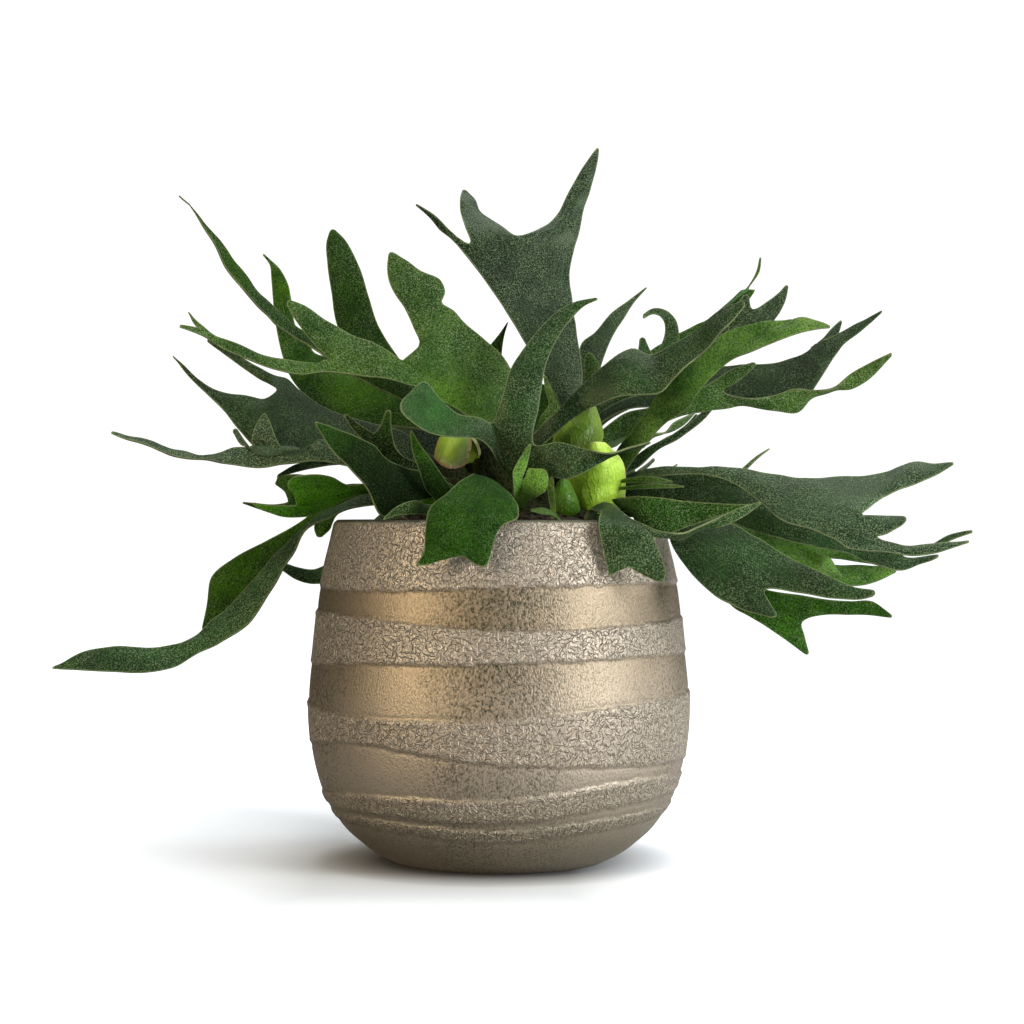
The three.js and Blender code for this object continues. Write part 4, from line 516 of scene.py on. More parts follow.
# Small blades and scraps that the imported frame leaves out, drawn in the same way
SMALL_FRONDS = [
    blade("rim_leaf", "fresh", [
        [60, 198, 63, 194.5, -28], [66, 199, 70, 190, -45], [75, 199.5, 78, 181.5, -58],
        [85, 198.8, 87.5, 179.5, -60], [98.4, 197, 101, 184, -60], [111.6, 196, 113.8, 188, -62],
        [124.9, 195.4, 125.9, 192, -64], [136, 195.4, 136.3, 195, -65],
    ], look=("fresh", -0.1, 0.45, 0.6, 0.0)),
    blade("pale_tip_upper", "pale", [
        [65.6, 208.6, 65.6, 206.5, -7.6], [67.5, 208.9, 67.5, 206.5, -10],
        [78.8, 210.2, 78.8, 206.8, -18], [86.2, 209.2, 86.2, 206.8, -20], [91.8, 207.6, 91.8, 207, -21],
    ], look=("pale", 0.3, 0.3, 0.5, 0.0)),
    blade("pale_tip_lower", "pale", [
        [64.3, 204.5, 64.3, 202.8, -7.9], [67.5, 204.8, 67.5, 203, -12], [82.5, 206.3, 82.5, 203.7, -20],
        [90.5, 206, 90.5, 203.9, -22], [97.9, 204.9, 97.9, 204.4, -23],
    ], look=("pale", 0.3, 0.3, 0.5, 0.0)),
    blade("rear_leaf", "dark", [
        [60, 205, 60, 199, 4], [78, 210, 78, 197.5, -3], [98, 213, 98, 196.5, -5],
        [118, 212.5, 119, 200, -6], [134, 207.5, 134.5, 204, -7],
    ], look=("dark", -0.3, 0.3, 0.5, 0.1)),
    blade("thin_spike", "dark", [
        [128.2, 214, 129.9, 212.4, -28.4], [136, 220.6, 137.2, 219.6, -25],
        [142.6, 224.7, 143, 224.2, -22],
    ]),
    blade("upright_scrap", "pale", [
        [27.6, 188, 30.4, 188, -29], [27, 194.5, 30, 194.5, -30], [26, 200, 29.5, 200, -31],
        [25.6, 205, 29.2, 204.5, -33], [26.5, 209, 29, 208.6, -34],
    ], look=("pale", 0.7, 0.3, 0.7, 1.0)),
    blade("lying_scrap", "pale", [
        [33, 187.2, 33, 185.2, -41], [28.6, 191.5, 28.6, 189, -44], [23, 193.5, 22.5, 190, -46],
        [17.5, 192.8, 17, 191.5, -47],
    ], look=("pale", 1.2, 0.4, 0.7, 1.0)),
]

# Finishes shared by the materials below, as linear colours
VEIN = (0.16, 0.19, 0.12)
FELT = (0.265, 0.38, 0.2)
RIM = (0.25, 0.31, 0.14)
GLOSS_TINT = (0.8, 1.0, 0.7, 1.0)
SHIELD_VEIN = (0.16, 0.25, 0.015)
SHIELD_RIM = (0.5, 0.52, 0.2)
# A deeper, darker green for the shields, partly painted shade
DEEP_GREEN_AND_SHADE = (0.3, 0.8, 0.2)
OLIVE = (1.5, 1.02, 0.9)
DRY = (0.2, 0.1, 0.055)
LIP = (0.09, 0.1, 0.065)
PEWTER = (0.5, 0.45, 0.375)
# Dark colour of the strokes' grooves and the band edges, partly painted shade
CREASE_SHADE = (0.06, 0.055, 0.035)

# Lengthwise veins of a frond, and the gloss and the veins' strength of each finish
VEINS = 11.0
SHINE = {"grey": (0.32, 0.12), "dark": (0.25, 0.06), "fresh": (0.08, 0.06), "pale": (0.12, 0.08)}

# Looks of the finishes: whose colours they take, and then how much lighter, how felted, how
# dull and how olive they are. A blade's own look says the same. How much lighter is partly
# the frond's own tone and partly painted light and shade, for how lit or shaded it stands.
LOOKS = {
    "grey": ("grey", -0.2, 0.4, 0.34, 0.0),
    "dark": ("dark", -0.05, 0.36, 0.38, 0.0),
    "fresh": ("fresh", 0.0, 0.3, 0.55, 0.1),
    "pale": ("pale", 0.0, 0.45, 0.5, 0.1),
}
LIGHT_RANGE = (-0.8, 2)
DULL_RANGE = (0.25, 0.85)

# Spots of painted light and painted shade on the near fronds: (x, height, radius, share), as
# drawn. The lighter spot paints a lit patch, and the darker ones paint the shade near the crown
# and between the fronds. A lighter spot has less felt, and all are duller.
SPOT_BALDNESS = 0.6
SPOT_DULLNESS = 0.3
PAINTED_LIGHT_SPOTS = [
    (-33, 244, 20, 1.3),
    (13, 218, 16, -0.5),
    (-8, 222, 12, -0.5),
    (-46, 207, 26, -0.5),
    (-72, 216, 20, -0.4),
    (78, 232, 24, -0.3),
]


# Strips: the drawn blades as rows of real places, in millimetres


def real_place(x, height, depth):
    """Real place of a point drawn at x and height, at a depth behind the pot's axis."""
    spread = (depth - EYE[1]) / -EYE[1]
    sideways = (x - EYE[0]) * spread
    upwards = (height - DRAWING_DROP - EYE[2]) * spread
    return (EYE[0] + sideways, depth, EYE[2] + upwards)


def strip_from_drawing(drawn, columns, tilt=0.0, level=None):
    """Turns a drawn blade, or one lobe of it, into left and right ends of its rows."""
    table = drawn if isinstance(drawn, dict) else forked(drawn)
    left, right = [], []
    for left_x, left_height, right_x, right_height, depth, *turned in table["rows"]:
        turn = turned[0] if turned else 0
        middle = level if level is not None else (left_height + right_height) / 2
        left.append(real_place(left_x, left_height, depth - turn / 2 + tilt * (left_height - middle)))
        right.append(real_place(right_x, right_height, depth + turn / 2 + tilt * (right_height - middle)))
    last = table["rows"][-1]
    fork_level = level if level is not None else (last[1] + last[3]) / 2
    forks = [
        real_place(x, height, depth + tilt * (height - fork_level)) for x, height, depth in table["forks"]
    ]
    return {
        "left": np.array(left),
        "right": np.array(right),
        "forks": np.array(forks).reshape(-1, 3),
        "columns": columns,
        "lobes": [strip_from_drawing(lobe, columns, tilt, fork_level) for lobe in table["lobes"]],
    }


def turned_strip(strip, start, turn, root, size):
    """A strip turned about the upright axis, resized and moved to a new root."""
    angle = math.radians(turn)
    spin = np.array([
        [math.cos(angle), -math.sin(angle), 0],
        [math.sin(angle), math.cos(angle), 0],
        [0, 0, 1],
    ])

    def moved(points):
        return (points - start) * size @ spin.T + np.array(root, float)

    return {
        "left": moved(strip["left"]),
        "right": moved(strip["right"]),
        "forks": moved(strip["forks"]),
        "columns": strip["columns"],
        "lobes": [turned_strip(lobe, start, turn, root, size) for lobe in strip["lobes"]],
    }


def columns_of(strip):
    """Columns of a strip: a plain tongue's own, and in a forked one all that its lobes have."""
    if not strip["lobes"]:
        return strip["columns"]
    return sum(columns_of(lobe) for lobe in strip["lobes"])


def fork_row(strip):
    """The last row of a forked strip: its left end, its forks and its right end."""
    return np.vstack([strip["left"][-1:], strip["forks"], strip["right"][-1:]])


def shares_of(strip):
    """How far along each row the lines between the columns lie, from 0 at the left to 1."""
    if not strip["lobes"]:
        return np.linspace(0, 1, strip["columns"] + 1)
    spans = np.linalg.norm(np.diff(fork_row(strip), axis=0), axis=1)
    starts = np.concatenate([[0], np.cumsum(spans)]) / spans.sum()
    shares = [np.zeros(1)]
    for start, end, lobe in zip(starts, starts[1:], strip["lobes"]):
        shares.append(start + shares_of(lobe)[1:] * (end - start))
    return np.concatenate(shares)


def unit(vectors):
    """Vectors of length one."""
    return vectors / np.maximum(np.linalg.norm(vectors, axis=-1, keepdims=True), 1e-9)


def set_cage(strip, arch, seam_middle=None):
    """Gives a strip, and its lobes after it, the arched rows of points that the sheet follows."""
    shares = shares_of(strip)
    left, right = strip["left"], strip["right"]
    rows = left[:, None] * (1 - shares)[None, :, None] + right[:, None] * shares[None, :, None]
    if strip["lobes"]:
        posts = fork_row(strip)
        bent = [posts[:1]]
        for start, end, lobe in zip(posts, posts[1:], strip["lobes"]):
            inner = shares_of(lobe)[1:, None]
            bent.append(start * (1 - inner) + end * inner)
        rows[-1] = np.concatenate(bent)
    middles = (left + right) / 2
    first = middles[:1] if seam_middle is None else seam_middle[None]
    heading = unit(np.vstack([middles[1:], middles[-1:]]) - np.vstack([first, middles[:-1]]))
    across = right - left
    width = np.linalg.norm(across, axis=1)
    out = unit(np.cross(across, heading))
    bulge = 4 * shares * (1 - shares)
    rows += bulge[None, :, None] * (out * (arch * width)[:, None])[:, None]
    if not strip["lobes"]:
        rows[-1] += bulge[:, None] * heading[-1] * ROUND_TIP * width[-1]
    strip["cage"] = rows
    strip["shares"] = shares
    line = 0
    for lobe in strip["lobes"]:
        columns = columns_of(lobe)
        set_cage(lobe, arch, (rows[-1][line] + rows[-1][line + columns]) / 2)
        line += columns


def middle_of(row):
    """Middle between a row's two ends."""
    return (row[0] + row[-1]) / 2


def rows_after(strip, rows):
    """The row that would follow a strip's last one, and how far off it is, line by line."""
    if not strip["lobes"]:
        gap = np.linalg.norm(middle_of(rows[-1]) - middle_of(rows[-2]))
        return 2 * rows[-1] - rows[-2], np.full(rows.shape[1], max(gap, 1e-3))
    after = np.zeros_like(rows[-1])
    gaps = np.zeros(rows.shape[1])
    shared = np.zeros(rows.shape[1])
    line = 0
    for lobe in strip["lobes"]:
        span = slice(line, line + columns_of(lobe) + 1)
        gap = np.linalg.norm(middle_of(lobe["cage"][0]) - middle_of(rows[-1][span]))
        after[span] += lobe["cage"][0]
        gaps[span] += gap
        shared[span] += 1
        line = span.stop - 1
    return after / shared[:, None], gaps / shared


def tangents_of(rows, gaps, before, gap_before, after, gap_after):
    """Directions of the smooth lines through the rows' points, per millimetre of travel."""
    lines = rows.shape[1]
    chain = np.concatenate([before[None], rows, after[None]])
    gap = np.concatenate([gap_before[None], np.repeat(gaps[:, None], lines, 1), gap_after[None]])
    slopes = np.diff(chain, axis=0) / gap[..., None]
    near, far = gap[:-1, :, None], gap[1:, :, None]
    return (far * slopes[:-1] + near * slopes[1:]) / (near + far)


def round_notches(tangents, rows, gap, notches, shares):
    """Turns the first row's directions beside a fork, so that the notch has a round bottom."""
    for neighbour, edge in zip(notches, (0, -1)):
        if neighbour is None:
            continue
        outwards = unit(rows[1][edge] - neighbour)
        speed = np.linalg.norm(rows[1][edge] - rows[0][edge]) / gap * NOTCH_ROUNDING
        away = shares if edge == 0 else 1 - shares
        weight = np.clip(1 - away / NOTCH_SHARE, 0, 1)[:, None] ** 2
        tangents[0] = tangents[0] * (1 - weight) + outwards * speed * weight


def lay_strip(sheet, strip, seam=None):
    """Lays a strip's rows into a sheet, smoothed from its cage, and then its lobes."""
    rows = strip["cage"]
    if seam is None:
        before = 2 * rows[0] - rows[1]
        first_gap = np.linalg.norm(middle_of(rows[1]) - middle_of(rows[0]))
        gap_before = np.full(rows.shape[1], first_gap)
        across = strip["shares"]
        travelled = 0.0
        numbers = add_row(sheet, rows[0], across, travelled)
    else:
        rows = np.concatenate([seam["row"][None], rows])
        before, gap_before, across = seam["before"], seam["gap"], seam["across"]
        travelled, numbers = seam["travelled"], seam["numbers"]
    middles = (rows[:, 0] + rows[:, -1]) / 2
    gaps = np.maximum(np.linalg.norm(np.diff(middles, axis=0), axis=1), 1e-3)
    after, gap_after = rows_after(strip, rows)
    tangents = tangents_of(rows, gaps, before, gap_before, after, np.maximum(gap_after, 1e-3))
    if seam is not None:
        round_notches(tangents, rows, gaps[0], seam["notches"], strip["shares"])
    for index, gap in enumerate(gaps):
        steps = max(2, math.ceil(gap / ROW_STEP))
        for t in np.arange(1, steps + 1) / steps:
            point = (
                (2 * t**3 - 3 * t**2 + 1) * rows[index]
                + (t**3 - 2 * t**2 + t) * gap * tangents[index]
                + (3 * t**2 - 2 * t**3) * rows[index + 1]
                + (t**3 - t**2) * gap * tangents[index + 1]
            )
            above = add_row(sheet, point, across, travelled + t * gap)
            weave(sheet, numbers, above)
            numbers = above
        travelled += gap
    lay_lobes(sheet, strip, rows, gaps, across, travelled, numbers)


def lay_lobes(sheet, strip, rows, gaps, across, travelled, numbers):
    """Lays each lobe from its share of the last row."""
    line = 0
    lobes = strip["lobes"]
    for index, lobe in enumerate(lobes):
        span = slice(line, line + columns_of(lobe) + 1)
        left = lobes[index - 1]["cage"][0][-1] if index > 0 else None
        right = lobes[index + 1]["cage"][0][0] if index + 1 < len(lobes) else None
        seam = {
            "row": rows[-1][span],
            "before": rows[-2][span],
            "gap": np.full(span.stop - span.start, gaps[-1]),
            "across": across[span],
            "travelled": travelled,
            "numbers": numbers[span],
            "notches": (left, right),
        }
        lay_strip(sheet, lobe, seam)
        line = span.stop - 1


def add_row(sheet, points, across, travelled):
    """Adds a row of points to a sheet and returns their numbers."""
    first = len(sheet["points"])
    sheet["points"].extend(points)
    sheet["across"].extend(across)
    sheet["travelled"].extend([travelled] * len(points))
    return list(range(first, first + len(points)))


def weave(sheet, near, far):
    """Joins two rows of points with faces that look the way of the drawn side."""
    for line in range(len(near) - 1):
        sheet["faces"].append((near[line], near[line + 1], far[line + 1], far[line]))


def facings(points, faces):
    """Mean direction in which a sheet faces at each of its points."""
    corners = points[faces]
    area = np.cross(corners[:, 2] - corners[:, 0], corners[:, 3] - corners[:, 1])
    total = np.zeros_like(points)
    for corner in range(4):
        np.add.at(total, faces[:, corner], area)
    return unit(total)


def rim_distances(points, faces):
    """Distance from each point of a sheet to the nearest point of its outline."""
    edges = {}
    for face in faces:
        for a, b in zip(face, np.roll(face, -1)):
            edges[(a, b)] = (b, a)
    outline = sorted({a for edge, back in edges.items() if back not in edges for a in edge})
    tree = kdtree.KDTree(len(outline))
    for number in outline:
        tree.insert(points[number], int(number))
    tree.balance()
    return np.array([tree.find(point)[2] for point in points])


def undulate(points, normals, rim, travelled, wave, ruffle, seed):
    """Lifts and lowers a sheet in slow waves, and its edges in shorter ones."""
    shift = np.zeros(len(points))
    offset = Vector((seed * 37.7, seed * 11.3, seed * 5.9))
    for index, point in enumerate(points):
        place = Vector(point) + offset
        slow = noise.noise(place / WAVE_SPAN) * wave
        quick = noise.noise(place / RUFFLE_SPAN) * ruffle * math.exp(-rim[index] / RUFFLE_REACH)
        shift[index] = (slow + quick) * min(1, travelled[index] / WAVE_START)
    return points + normals * shift[:, None]


# Pieces


def deselect_all():
    """Leaves nothing selected, in object mode."""
    if bpy.context.object and bpy.context.object.mode != "OBJECT":
        bpy.ops.object.mode_set(mode="OBJECT")
    bpy.ops.object.select_all(action="DESELECT")


def make_active(piece):
    """Selects one object alone and makes it the active one."""
    deselect_all()
    piece.select_set(True)
    bpy.context.view_layer.objects.active = piece


def join(pieces):
    """Joins pieces into the first of them."""
    deselect_all()
    for piece in pieces:
        piece.select_set(True)
    bpy.context.view_layer.objects.active = pieces[0]
    bpy.ops.object.join()
    return pieces[0]


def object_from(name, points, faces, edges=()):
    """A new object in the scene, with a mesh of these points and faces."""
    mesh = bpy.data.meshes.new(name)
    mesh.from_pydata(points, edges, faces)
    piece = bpy.data.objects.new(name, mesh)
    bpy.context.scene.collection.objects.link(piece)
    make_active(piece)
    return piece


def apply_modifier(piece, kind, **values):
    """Adds a modifier with these values and applies it."""
    make_active(piece)
    bpy.ops.object.modifier_add(type=kind)
    modifier = piece.modifiers[-1]
    for key, value in values.items():
        setattr(modifier, key, value)
    bpy.ops.object.modifier_apply(modifier=modifier.name)


def finish_piece(piece, materials, slot, *nodes):
    """Gives a piece its materials and its body, and hides the imported nodes it stands for; slot is not
    used.
    """
    if not piece.data.materials:
        for material in materials:
            piece.data.materials.append(material)
    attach(piece, "root")
    if nodes:
        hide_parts(*nodes)


def point_attribute(piece, name, values):
    """Stores one number for each of a piece's points."""
    attribute = piece.data.attributes.new(name, "FLOAT", "POINT")
    attribute.data.foreach_set("value", np.asarray(values, np.float32))


def point_uv(piece, name, places):
    """Stores a UV map from one place for each of a piece's points."""
    layer = piece.data.uv_layers.new(name=name)
    corners = np.zeros(len(piece.data.loops), np.int32)
    piece.data.loops.foreach_get("vertex_index", corners)
    layer.data.foreach_set("uv", np.asarray(places, np.float32)[corners].ravel())


def blade_piece(name, strip, arch, wave, ruffle, seed, materials, stalk=STALK):
    """One frond: a smooth sheet along its drawn strip, with its thickness.

    Its materials are those of its upper face, its underside and its edge."""
    set_cage(strip, arch)
    sheet = {"points": [], "across": [], "travelled": [], "faces": []}
    lay_strip(sheet, strip)
    points, faces = np.array(sheet["points"]), np.array(sheet["faces"])
    travelled = np.array(sheet["travelled"])
    rim = rim_distances(points, faces)
    points = undulate(points, facings(points, faces), rim, travelled, wave, ruffle, seed)
    piece = object_from(name, (points * MM).tolist(), faces.tolist())
    point_uv(piece, "strip", np.column_stack([sheet["across"], travelled * MM]))
    point_attribute(piece, "rim", rim * MM)
    for material in materials:
        piece.data.materials.append(material)
    stout = (BLADE + (stalk - BLADE) * np.clip(1 - travelled / STALK_REACH, 0, 1) ** 2) / STALK
    group = piece.vertex_groups.new(name="stout")
    for number, weight in enumerate(stout):
        group.add([number], float(weight), "REPLACE")
    apply_modifier(
        piece, "SOLIDIFY", thickness=STALK * MM, offset=0, vertex_group="stout",
        material_offset=1, material_offset_rim=2,
    )
    piece.vertex_groups.clear()
    bpy.ops.object.shade_smooth_by_angle(angle=math.radians(SMOOTH_ANGLE))
    return piece


def store_look(piece, light, felt, dullness, warmth):
    """Stores how light, felted, dull and olive a frond is, as a whole and on its painted light and shade.
    """
    points = mesh_points(piece)
    spread = (points[:, 1] - EYE[1]) / -EYE[1]
    drawn_x = EYE[0] + (points[:, 0] - EYE[0]) / spread
    drawn_height = EYE[2] + DRAWING_DROP + (points[:, 2] - EYE[2]) / spread
    # Painted light and shade: each spot lightens or darkens the colour of the near fronds where it lies
    painted_spots = np.zeros(len(points))
    for x, height, radius, share in PAINTED_LIGHT_SPOTS:
        away = np.hypot(drawn_x - x, drawn_height - height) / radius
        painted_spots += share * np.exp(-away**2) * (points[:, 1] < 0)
    dull = np.clip(dullness + SPOT_DULLNESS * np.abs(painted_spots), *DULL_RANGE)
    point_attribute(piece, "light", np.clip(light + painted_spots, *LIGHT_RANGE))
    point_attribute(piece, "felt", felt * (1 - SPOT_BALDNESS * np.clip(painted_spots, 0, 1)))
    point_attribute(piece, "warmth", np.full(len(points), warmth))
    point_attribute(piece, "dullness", dull)


# Pot


def pot_outline():
    """The pot's outer wall as closely spaced (radius, height) points on a smooth curve."""
    posts = np.array(POT_OUTLINE, float)
    chain = np.vstack([posts[:1], posts, posts[-1:]])
    curve = []
    for index in range(len(posts) - 1):
        p0, p1, p2, p3 = chain[index:index + 4]
        for t in np.linspace(0, 1, 20, endpoint=False):
            curve.append(
                0.5 * (2 * p1 + (p2 - p0) * t + (2 * p0 - 5 * p1 + 4 * p2 - p3) * t**2
                       + (3 * p1 - 3 * p2 + p3 - p0) * t**3)
            )
    curve.append(posts[-1])
    return np.array(curve)


POT_CURVE = pot_outline()


def pot_radius(height):
    """Radius of the pot's outer wall at a height."""
    return np.interp(height, POT_CURVE[:, 1], POT_CURVE[:, 0])


def edge_height(heights, angle):
    """Height of a band's edge at each angle, smooth all the way round the pot."""
    heights = np.array(heights, float)
    count = len(heights)
    turn = (angle + math.pi) / (2 * math.pi) * count
    first = np.floor(turn).astype(int)
    share = turn - first

    def at(offset):
        return heights[(first + offset) % count]

    slope_in = (at(1) - at(-1)) / 2
    slope_out = (at(2) - at(0)) / 2
    ease = share * share * (3 - 2 * share)
    bend = share * (1 - share) * ((1 - share) * slope_in - share * slope_out)
    return at(0) + (at(1) - at(0)) * ease + bend


def smooth_step(low, high, value):
    """0 below low, 1 above high and a smooth rise between them."""
    t = np.clip((value - low) / (high - low), 0, 1)
    return t * t * (3 - 2 * t)


def ring_noise(angle, size, seed):
    """Smooth noise round the pot, with features about size millimetres long."""
    radius = 100 / size
    return np.array([
        noise.noise(Vector((radius * math.cos(a), radius * math.sin(a), seed * 7.3))) for a in angle
    ])


def band_relief(angle, height):
    """How far each point stands out from the wall, how rough its band is and how near its edge."""
    raised = np.ones_like(height)
    near_edge = np.zeros_like(height)
    lip = np.zeros_like(height)
    columns, back = np.unique(np.round(angle, 6), return_inverse=True)
    for index, (step, heights) in enumerate(BAND_EDGES):
        wander = 0.9 * ring_noise(columns, 9, index) + 0.6 * ring_noise(columns, 3.2, index + 20)
        edge = (edge_height(heights, columns) + wander)[back]
        below = edge - height
        raised += step * smooth_step(-STEP_SLOPE, STEP_SLOPE, below)
        near_edge = np.maximum(near_edge, np.exp(-((below + 0.6 * step) / EDGE_WIDTH) ** 2))
        strength = (0.55 + 0.6 * ring_noise(columns, 14, index + 40))[back]
        high, crest, wide, deep, trough, narrow = BAND_LIPS[step]
        lip += high * strength * np.exp(-((below - crest) / wide) ** 2)
        lip -= deep * np.exp(-((below - trough) / narrow) ** 2)
    return RELIEF * raised + lip, raised, near_edge


def spun_body(name, profile, sides):
    """A closed round body, spun from its profile of (radius, height) points."""
    points = [(radius * MM, 0.0, height * MM) for radius, height in profile]
    edges = [(index, index + 1) for index in range(len(points) - 1)]
    piece = object_from(name, points, [], edges)
    bpy.ops.object.mode_set(mode="EDIT")
    bpy.ops.mesh.select_all(action="SELECT")
    bpy.ops.mesh.spin(steps=sides, angle=2 * math.pi, center=(0, 0, 0), axis=(0, 0, 1))
    bpy.ops.mesh.select_all(action="SELECT")
    bpy.ops.mesh.remove_doubles(threshold=0.00001)
    bpy.ops.mesh.normals_make_consistent(inside=False)
    bpy.ops.object.mode_set(mode="OBJECT")
    return piece


def mesh_points(piece):
    """A piece's points, in millimetres."""
    points = np.zeros(len(piece.data.vertices) * 3)
    piece.data.vertices.foreach_get("co", points)
    return points.reshape(-1, 3) / MM


def set_points(piece, points):
    """Moves a piece's points to these places in millimetres."""
    piece.data.vertices.foreach_set("co", (points * MM).ravel())
    piece.data.update()


def pot_profile():
    """Half the pot's section: foot, outer wall, rounded lip and inside."""
    below_lip = POT_HEIGHT - LIP_ROUND
    outside = [(0.0, 0.0), (30.0, 0.0), (50.0, 0.0)]
    outside += [(pot_radius(z), z) for z in np.linspace(0, below_lip, 150)]
    rim = pot_radius(POT_HEIGHT)
    turn = np.radians([20, 45, 70, 90])
    lip = [(rim - LIP_ROUND + LIP_ROUND * math.cos(a), below_lip + LIP_ROUND * math.sin(a)) for a in turn]
    inner = rim - WALL + LIP_ROUND
    lip += [(inner - LIP_ROUND * math.cos(a), below_lip + LIP_ROUND * math.sin(a)) for a in turn[::-1]]
    inside = [(pot_radius(z) - WALL, z) for z in (176, 170, 160, 140, 120, 100, 80, 60, 45, 30, 22, 14)]
    return outside + lip + inside + [(pot_radius(FLOOR) - WALL, FLOOR), (0.0, FLOOR)]


def pot_piece(name):
    """The pot with its wavy rough bands standing out from the wall."""
    piece = spun_body(name, pot_profile(), POT_SIDES)
    points = mesh_points(piece)
    radius = np.hypot(points[:, 0], points[:, 1])
    angle = np.arctan2(points[:, 0], -points[:, 1])
    height = points[:, 2]
    outer = (radius > pot_radius(height) - 1.0) & (height < POT_HEIGHT - 0.2) & (radius > 52)
    stand, raised, near_edge = band_relief(angle[outer], height[outer])
    fade = smooth_step(0, 5, height[outer]) * smooth_step(0, 2.5, POT_HEIGHT - height[outer])
    shift = np.zeros_like(radius)
    shift[outer] = stand * fade
    grow = 1 + shift / np.maximum(radius, 1)
    points[:, :2] *= grow[:, None]
    set_points(piece, points)
    rough = np.zeros_like(radius)
    rough[outer] = raised * fade
    edge = np.zeros_like(radius)
    edge[outer] = near_edge * fade
    point_attribute(piece, "rough", rough)
    # The edge attribute marks where the glaze gets its dark line along the band edges, partly painted shade
    point_attribute(piece, "edge", edge)
    point_attribute(piece, "lip", 1 - smooth_step(0.6, 1.6, POT_HEIGHT - height))
    bpy.ops.object.shade_smooth()
    return piece


# Potting mix and creeping stem


def mix_piece(name):
    """The potting mix: a lumpy mound with loose crumbs and bark chips on it."""
    gap = WALL + SOIL_GAP
    edge = POT_HEIGHT - SOIL_DROP
    rim = pot_radius(edge) - gap
    mound = [
        (rim * share, edge + (SOIL_DROP + SOIL_CROWN) * math.cos(share * math.pi / 2))
        for share in np.linspace(0, 1, 56)
    ]
    wall = [(pot_radius(z) - gap, z) for z in (160, 120, 80, 45, 22, FLOOR + SOIL_GAP)]
    piece = spun_body(name, mound + wall + [(0.0, FLOOR + SOIL_GAP)], 150)
    points = mesh_points(piece)
    top = points[:, 2] > edge - 0.5
    for index in np.flatnonzero(top):
        spot = Vector(points[index])
        lump = 1.5 * noise.noise(spot / 9) + 0.9 * noise.noise(spot / 3.4)
        near_wall = smooth_step(0, 4, rim - math.hypot(spot.x, spot.y))
        points[index, 2] += lump * (0.25 + 0.75 * near_wall)
    set_points(piece, points)
    bpy.ops.object.shade_smooth()
    return join([piece, crumb_heap(name + "_crumbs", rim)])


def crumb_heap(name, rim):
    """Crumbs and bark chips that lie on the mix, copied from one faceted lump."""
    bpy.ops.mesh.primitive_ico_sphere_add(subdivisions=1, radius=1)
    lump = bpy.context.object
    shape = np.array([vertex.co for vertex in lump.data.vertices])
    faces = np.array([polygon.vertices for polygon in lump.data.polygons])
    bpy.data.objects.remove(lump)
    rng = np.random.default_rng(CRUMB_SEED)
    points, triangles = [], []
    for number in range(CRUMBS):
        share = math.sqrt(rng.uniform(0.0, 0.93))
        angle = rng.uniform(0, 2 * math.pi)
        height = POT_HEIGHT - SOIL_DROP + (SOIL_DROP + SOIL_CROWN) * math.cos(share * math.pi / 2)
        size = rng.uniform(0.9, 2.1) if number % 5 else rng.uniform(2.0, 3.4)
        half = np.array([size * rng.uniform(0.8, 1.8), size, size * rng.uniform(0.35, 0.8)])
        tumble = Euler((rng.uniform(-0.5, 0.5), rng.uniform(-0.5, 0.5), rng.uniform(0, 6.28)))
        turn = np.array(tumble.to_matrix())
        body = (shape * half * rng.uniform(0.75, 1.2, (len(shape), 1))) @ turn.T
        spot = np.array([rim * share * math.sin(angle), rim * share * math.cos(angle), height + size * 0.2])
        triangles.extend((faces + len(points)).tolist())
        points.extend(((body + spot) * MM).tolist())
    heap = object_from(name, points, triangles)
    bpy.ops.object.shade_flat()
    return heap


def stem_piece(name):
    """The creeping stem: lumps joined into one scaly body."""
    lumps = []
    for (x, height, depth), half in STEM_LUMPS:
        wide, deep, high = (MM * size for size in half)
        deselect_all()
        bpy.ops.mesh.primitive_uv_sphere_add(
            segments=24, ring_count=16, radius=1,
            location=Vector(real_place(x, height, depth)) * MM, scale=(wide, deep, high),
        )
        lumps.append(bpy.context.object)
    piece = join(lumps)
    bpy.ops.object.transform_apply(location=True, rotation=True, scale=True)
    piece.name = piece.data.name = name
    apply_modifier(piece, "REMESH", mode="VOXEL", voxel_size=STEM_VOXEL * MM)
    points = mesh_points(piece)
    normals = np.zeros(len(points) * 3)
    piece.data.vertices.foreach_get("normal", normals)
    scales = np.array([
        0.5 - noise.cell(Vector(point) / 3.2) * 0.5 + noise.noise(Vector(point) / 2.5) for point in points
    ])
    set_points(piece, points + normals.reshape(-1, 3) * (scales * 0.55 - 0.4)[:, None])
    bpy.ops.object.shade_smooth()
    return piece


# Materials


